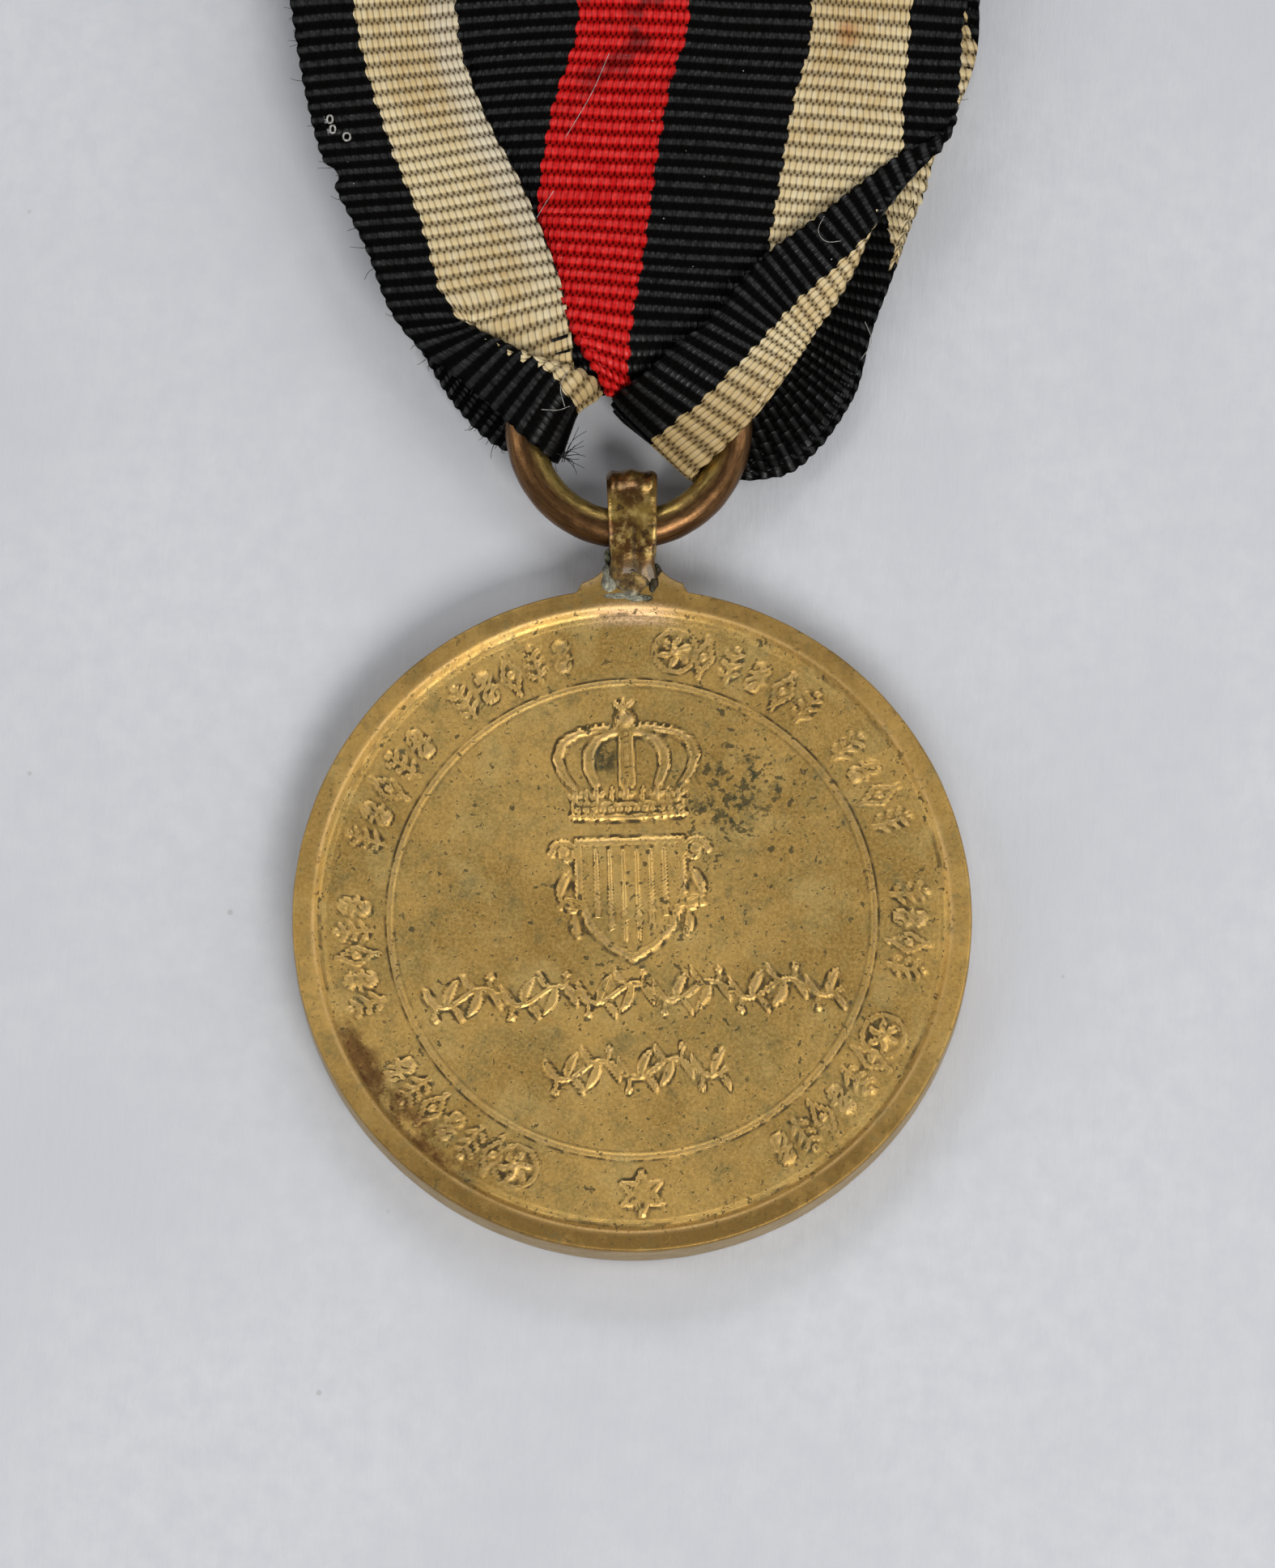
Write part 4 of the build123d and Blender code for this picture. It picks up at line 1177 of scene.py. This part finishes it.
def repp():
    """Ribbed silk ribbon: stripes, floats laid like bricks over the ribs, stains and lint."""
    p = Paint("ribbon_cloth")
    u, v = p.uv()
    cloth = p.node("CombineXYZ", {0: u, 1: v}).outputs[0]
    rib = v / RIB_PITCH
    crest = p.math("MULTIPLY_ADD", p.math("COSINE", rib * (2 * math.pi)), 0.5, 0.5)
    odd = p.math("FLOORED_MODULO", p.math("FLOOR", rib + 0.5), 2.0)
    jitter = (p.noise(1.3, 2.0, vector=cloth, seed=1.0) - 0.5) * 0.35
    phase = p.math("FRACT", u / FLOAT_PITCH + odd * 0.5 + jitter)
    gap = abs(phase - 0.5) * 2.0
    valley = 1.0 - crest
    dash = p.span(valley, 0.3, 0.85) * p.span(gap, 0.5, 0.92)
    seam = p.span(gap, 0.55, 1.0)
    edge = (crest - 0.5) * 0.08
    uneven = (p.noise(3.0, 1.0, vector=cloth, seed=2.0) - 0.5) * 0.12
    across = u + (odd - 0.5) * 0.09 + uneven
    mirrored = (abs(across - HALF_W) - edge) / HALF_W
    red_end, cream_start, cream_end = (1 - end / HALF_W for end in reversed(STRIPE_ENDS))
    off, on = (0, 0, 0), (1, 1, 1)
    is_cream = p.stripes(mirrored, [(0.0, off), (cream_start, on), (cream_end, off)])
    is_red = p.stripes(mirrored, [(0.0, on), (red_end, off)])
    # cream: yellowed, with paler and greyer stretches
    stain = p.noise(0.22, 4.0, 0.6, vector=cloth, seed=4.0)
    fibre = p.noise(2.2, 4.0, 0.7, vector=p.stretch(cloth, (1.6, 0.7, 1.0)), seed=5.0)
    tan = p.blend(p.span(stain, 0.35, 0.7), (0.61, 0.485, 0.268), (0.47, 0.325, 0.138))
    tan = p.blend(p.span(fibre, 0.42, 0.68, 0, 0.6), tan, (0.66, 0.58, 0.40))
    near_fold = p.span(abs(u - 7.0), 1.5, 0.2) * p.span(v, 16.0, 8.0)
    tan = p.blend(near_fold * 0.5, tan, (0.6, 0.56, 0.46))
    # painted shade: the cream is made darker and browner where the cloth turns under the ring
    under_ring_shade = p.span(v, 17.0, 21.5) * p.span(v, 27.0, 24.0)
    tan = p.blend(under_ring_shade * 0.75, tan, (0.34, 0.225, 0.085))
    p.colour = p.blend(is_cream, (0.0036, 0.0036, 0.0034), tan)
    # red: deeper and lighter ribs, and dark smudges near the top
    deep = p.blend(p.span(fibre, 0.35, 0.65), (0.42, 0.004, 0.005), (0.60, 0.013, 0.010))
    near_top = p.span(v, 6.0, 0.5) * p.span(v, -5.0, -1.5)
    smudge = p.span(p.noise(0.55, 3.0, vector=cloth, seed=7.0), 0.5, 0.62) * near_top
    deep = p.blend(smudge * 0.8, deep, (0.06, 0.004, 0.004))
    p.coat(is_red, deep)
    # the orange stain on the right cream stripe
    spot = p.distance(cloth, (25.0, 0.3, 0.0))
    spot = p.span(spot, 0.9, 0.1) * p.span(fibre, 0.3, 0.55)
    p.coat(spot * 0.8, (0.36, 0.13, 0.03))
    # painted shade: darker down the rib valleys, and a little darker along the gaps between floats
    shade = p.span(valley, 0.25, 1.0, 1.0, 0.5)
    lit = shade * p.span(seam, 0.0, 1.0, 1.0, 0.8)
    grey = p.node("CombineColor", {0: lit, 1: lit, 2: lit}).outputs[0]
    p.coat(1.0, grey, "MULTIPLY")
    dark = p.blend(is_cream, (0.004, 0.003, 0.003), (0.085, 0.045, 0.018))
    dark = p.blend(is_red, dark, (0.05, 0.001, 0.001))
    p.coat(dash * 0.86, dark)
    # white lint specks
    sparse = p.span(p.noise(0.9, 1.0, vector=cloth, seed=9.0), 0.54, 0.6)
    lint = p.span(p.cells(1.6, cloth), 0.06, 0.035) * sparse
    p.coat(lint * 0.6, (0.55, 0.53, 0.5))
    rounded = p.math("SQRT", p.larger(1.0 - p.math("POWER", gap, 2.0), 0.0))
    weave = rounded * p.span(crest, 0.0, 0.6, 0.35, 1.0) + dash * -0.8
    fuzz = p.noise(14.0, 3.0, 0.6, vector=p.stretch(cloth, (1.0, 0.6, 1.0)), seed=12.0)
    bump = p.bump(fuzz, 0.012, below=p.bump(weave, 0.06))
    gloss = p.span(crest, 0.45, 1.0, 0.04, 1.0) * p.span(fibre, 0.36, 0.64, 0.1, 0.48)
    rough = p.span(fibre, 0.3, 0.7, 0.56, 0.42)
    return p.finish(Roughness=rough, Normal=bump, Specular_IOR_Level=gloss)


verts, faces, uv, ribbon_length, ribbon_mid, ribbon_side = make_ribbon()
ribbon = make_object("ribbon", verts, faces, repp(), uv=uv)


def tube(points, radius, sides=8, twist=0.0, lay=0.0):
    """A round thread along the points; lay is the depth of its two-ply twist."""
    pts = np.asarray(points, dtype=float)
    along = np.gradient(pts, axis=0)
    along /= np.linalg.norm(along, axis=1)[:, None] + 1e-9
    up = np.array([0.31, 0.22, 0.92])
    side = np.cross(along, up)
    side /= np.linalg.norm(side, axis=1)[:, None] + 1e-9
    over = np.cross(side, along)
    length = np.concatenate([[0], np.cumsum(np.linalg.norm(np.diff(pts, axis=0), axis=1))])
    b = np.linspace(0, 2 * math.pi, sides, endpoint=False)
    r = np.broadcast_to(np.asarray(radius, dtype=float), len(pts))[:, None]
    r = r * (1 + lay * np.abs(np.cos(b + twist * length[:, None])) - lay / 2)
    verts = pts[:, None] + r[:, :, None] * (np.cos(b)[None, :, None] * side[:, None]
                                            + np.sin(b)[None, :, None] * over[:, None])
    faces = grid_faces(len(pts), sides, wrap_cols=True)
    faces += [list(range(sides)), [(len(pts) - 1) * sides + k for k in range(sides)][::-1]]
    return verts.reshape(-1, 3), faces


def curve_through(points, count):
    pts = np.asarray(points, dtype=float)
    at = np.concatenate([[0], np.cumsum(np.linalg.norm(np.diff(pts, axis=0), axis=1))])
    line = through(np.linspace(0, at[-1], count), np.column_stack([at, pts]))
    for _ in range(3):
        line[1:-1] = (line[:-2] + 2 * line[1:-1] + line[2:]) / 4
    return line


def join(parts):
    verts, faces, count = [], [], 0
    for part_verts, part_faces in parts:
        verts.append(part_verts)
        faces += [[i + count for i in face] for face in part_faces]
        count += len(part_verts)
    return np.concatenate(verts), faces


def make_frays():
    """Black ends at the tip of the band, and fuzz along the selvages."""
    parts = []
    root = np.array([-3.05, 20.3, 2.3])
    for _ in range(15):
        reach = rng.uniform(0.5, 1.5)
        turn = math.radians(rng.uniform(-55, 62))
        tip = root + [reach * math.cos(turn), reach * math.sin(turn), rng.uniform(-0.2, 0.5)]
        bend = (root + tip) / 2 + rng.normal(0, 0.12, 3)
        line = curve_through([root + rng.normal(0, 0.1, 3), bend, tip], 9)
        parts.append(tube(line, np.linspace(0.022, 0.012, 9), 5))
    for _ in range(150):
        row = int(rng.integers(60, len(ribbon_mid) - 20))
        col = 0 if rng.random() < 0.6 else -1
        sign = -1 if col == 0 else 1
        at = ribbon_mid[row, col]
        out = ribbon_side[row, col] * sign
        swing = rng.normal(0, 0.5, 3) * (1, 1, 0.3)
        reach = rng.uniform(0.12, 0.42)
        points = [at - out * 0.05, at + (out + 0.4 * swing) * reach * 0.5, at + (out + swing) * reach]
        parts.append(tube(curve_through(points, 6), np.linspace(0.016, 0.010, 6), 4))
    return join(parts)


LINT = [
    [(-1.0, 38.0, 3.85), (-1.7, 36.3, 3.82), (-2.9, 34.2, 3.75)],
    [(-3.4, 31.8, 3.75), (-3.9, 31.0, 3.72), (-4.4, 30.1, 3.7)],
    [(8.3, 30.6, 3.95), (8.0, 29.9, 4.1), (8.4, 29.4, 4.0), (9.0, 29.5, 3.9)],
    [(10.1, 26.6, 1.35), (10.4, 25.7, 1.5), (9.9, 24.9, 1.35)],
    [(-2.8, 23.6, 4.15), (-3.1, 22.9, 3.95), (-2.9, 22.2, 3.5)],
    [(-3.9, 22.0, 3.75), (-3.3, 22.0, 3.6), (-2.7, 22.3, 3.2)],
]


def make_lint():
    """Pale hairs, threads drawn round the worn holes, and loose silk at the tucked end."""
    parts = [tube(curve_through(points, 14), 0.014, 5) for points in LINT]
    up = np.array([0, 0, 0.24])
    for at, col, tall in WORN_HOLES:
        row = int((at - TOP_START) / ROW_PITCH) + 1
        centre = (ribbon_mid[row, col] + ribbon_mid[row + tall, col + 1]) / 2 + up
        turn = np.linspace(0.2, 6.5, 20) + 2.0 * col
        wide = rng.uniform(0.11, 0.17)
        loop = centre + np.stack([wide * np.cos(turn), 0.18 * np.sin(turn), 0.03 * np.sin(3 * turn)],
                                 axis=1)
        parts.append(tube(loop, 0.045, 6))
    row = int((21.9 - TOP_START) / ROW_PITCH)
    for _ in range(34):
        at = ribbon_mid[row + int(rng.integers(-2, 5)), TUCKED + int(rng.integers(0, 6))] + up * 0.9
        reach = rng.uniform(0.15, 0.45)
        lean = rng.normal(0, 0.35)
        elbow = at + reach * np.array([-0.3 + lean, -0.5, 0.15])
        tip = at + reach * np.array([-0.5 + 1.6 * lean, -0.9, -0.3])
        parts.append(tube(curve_through([at, elbow, tip], 6), 0.018, 5))
    return join(parts)


def fibre_paint(name, colour, dark):
    p = Paint(name)
    p.colour = p.blend(p.span(p.noise(6.0, 3.0), 0.35, 0.65), dark, colour)
    return p.finish(Roughness=0.6, Specular_IOR_Level=0.3)


black_fibre = fibre_paint("black_fibre", (0.012, 0.012, 0.012), (0.004, 0.004, 0.004))
frays = make_object("selvage_frays", *make_frays(), black_fibre)
pale_fibre = fibre_paint("pale_fibre", (0.42, 0.41, 0.38), (0.20, 0.19, 0.17))
lint = make_object("lint_hairs", *make_lint(), pale_fibre)
for cloth in (ribbon, frays, lint):
    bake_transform(cloth)
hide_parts("ribbon_gather", "ribbon_drop")
ribbon_length * MM

# ---------------------------------------------------------------- sewing thread and brooch
STITCH_Y, STITCH_COUNT, STITCH_PITCH, STITCH_L = 56.9, 10, 2.9, 1.3
PLATE_Y, PLATE_HALF_W = 60.5, 2.5
TACKS = [(x, y) for x in (-12.6, 12.6) for y in (58.9, 62.1)]
PLIED = {"sides": 10, "twist": 9.0, "lay": 0.35}


def make_stitches():
    """A row of running stitches through the hem, and strands over the plate's corners."""
    parts = []
    for k in range(STITCH_COUNT):
        x = (k - (STITCH_COUNT - 1) / 2) * STITCH_PITCH
        tilt = rng.uniform(-0.08, 0.08)
        half = STITCH_L / 2
        points = [(x - half, STITCH_Y - tilt, 3.7), (x - half + 0.12, STITCH_Y - tilt, 3.98),
                  (x, STITCH_Y, 4.03),
                  (x + half - 0.12, STITCH_Y + tilt, 3.98), (x + half, STITCH_Y + tilt, 3.7)]
        parts.append(tube(curve_through(points, 24), 0.13, **PLIED))
    for x, y in TACKS:
        edge = PLATE_Y + math.copysign(PLATE_HALF_W + 0.12, y - PLATE_Y)
        for shift in (-0.24, 0.0, 0.24):
            start, lean = x + shift, rng.uniform(-0.1, 0.1)
            end = start + lean
            points = [(start, y, 2.75), (start, y, 2.2), (start + lean * 0.3, y + (edge - y) * 0.3,
                                                          1.95),
                      (end, y + (edge - y) * 0.8, 1.95), (end, edge, 2.2), (end, edge, 2.75)]
            parts.append(tube(curve_through(points, 26), 0.12, **PLIED))
    return join(parts)


def thread_paint():
    p = Paint("sewing_thread")
    p.colour = p.blend(p.span(p.noise(3.0, 3.0), 0.3, 0.7), (0.010, 0.010, 0.011), (0.030, 0.029, 0.028))
    strands = p.noise(18.0, 2.0, vector=p.stretch(p.place(), (1.0, 2.5, 2.5)))
    return p.finish(Roughness=0.55, Normal=p.bump(strands, 0.02))


make_object("hem_stitches", *make_stitches(), thread_paint(), "ribbon", "thread", ["sewing_thread"])


def steel(name, base, worn, dark, rough):
    """Old plated steel: brushed, with worn patches, grime and pin-pricks of rust."""
    p = Paint(name)
    brushed = p.noise(2.0, 5.0, 0.7, vector=p.stretch(p.place(), (0.5, 9.0, 9.0)))
    patch = p.noise(0.45, 4.0, 0.6, seed=3.0)
    p.colour = p.blend(p.span(brushed, 0.35, 0.65), base, worn)
    p.coat(p.span(patch, 0.52, 0.66, 0, 0.75), dark)
    rust = p.span(p.noise(3.6, 3.0, seed=5.0), 0.6, 0.68) * p.span(patch, 0.42, 0.6)
    p.coat(rust * 0.85, (0.16, 0.055, 0.018))
    rough = p.span(brushed, 0.3, 0.7, rough, rough + 0.12) + rust * 0.3
    bump = p.bump(brushed, 0.006, below=p.bump(p.noise(4.0, 3.0, seed=8.0), 0.01))
    return p.finish(Metallic=0.95, Roughness=rough, Normal=bump)


def dress(material, *names):
    for name in names:
        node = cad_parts[name]
        node.data.materials.clear()
        node.data.materials.append(material)


dress(steel("plated_steel", (0.42, 0.38, 0.30), (0.58, 0.53, 0.43), (0.22, 0.19, 0.15), 0.28),
      "brooch_plate", "hinge_bracket", "brooch_catch")
dress(steel("rivet_steel", (0.36, 0.35, 0.33), (0.50, 0.49, 0.47), (0.18, 0.16, 0.14), 0.3),
      "hinge_rivet")
dress(steel("needle_steel", (0.50, 0.50, 0.50), (0.64, 0.64, 0.64), (0.30, 0.28, 0.26), 0.2),
      "brooch_needle")
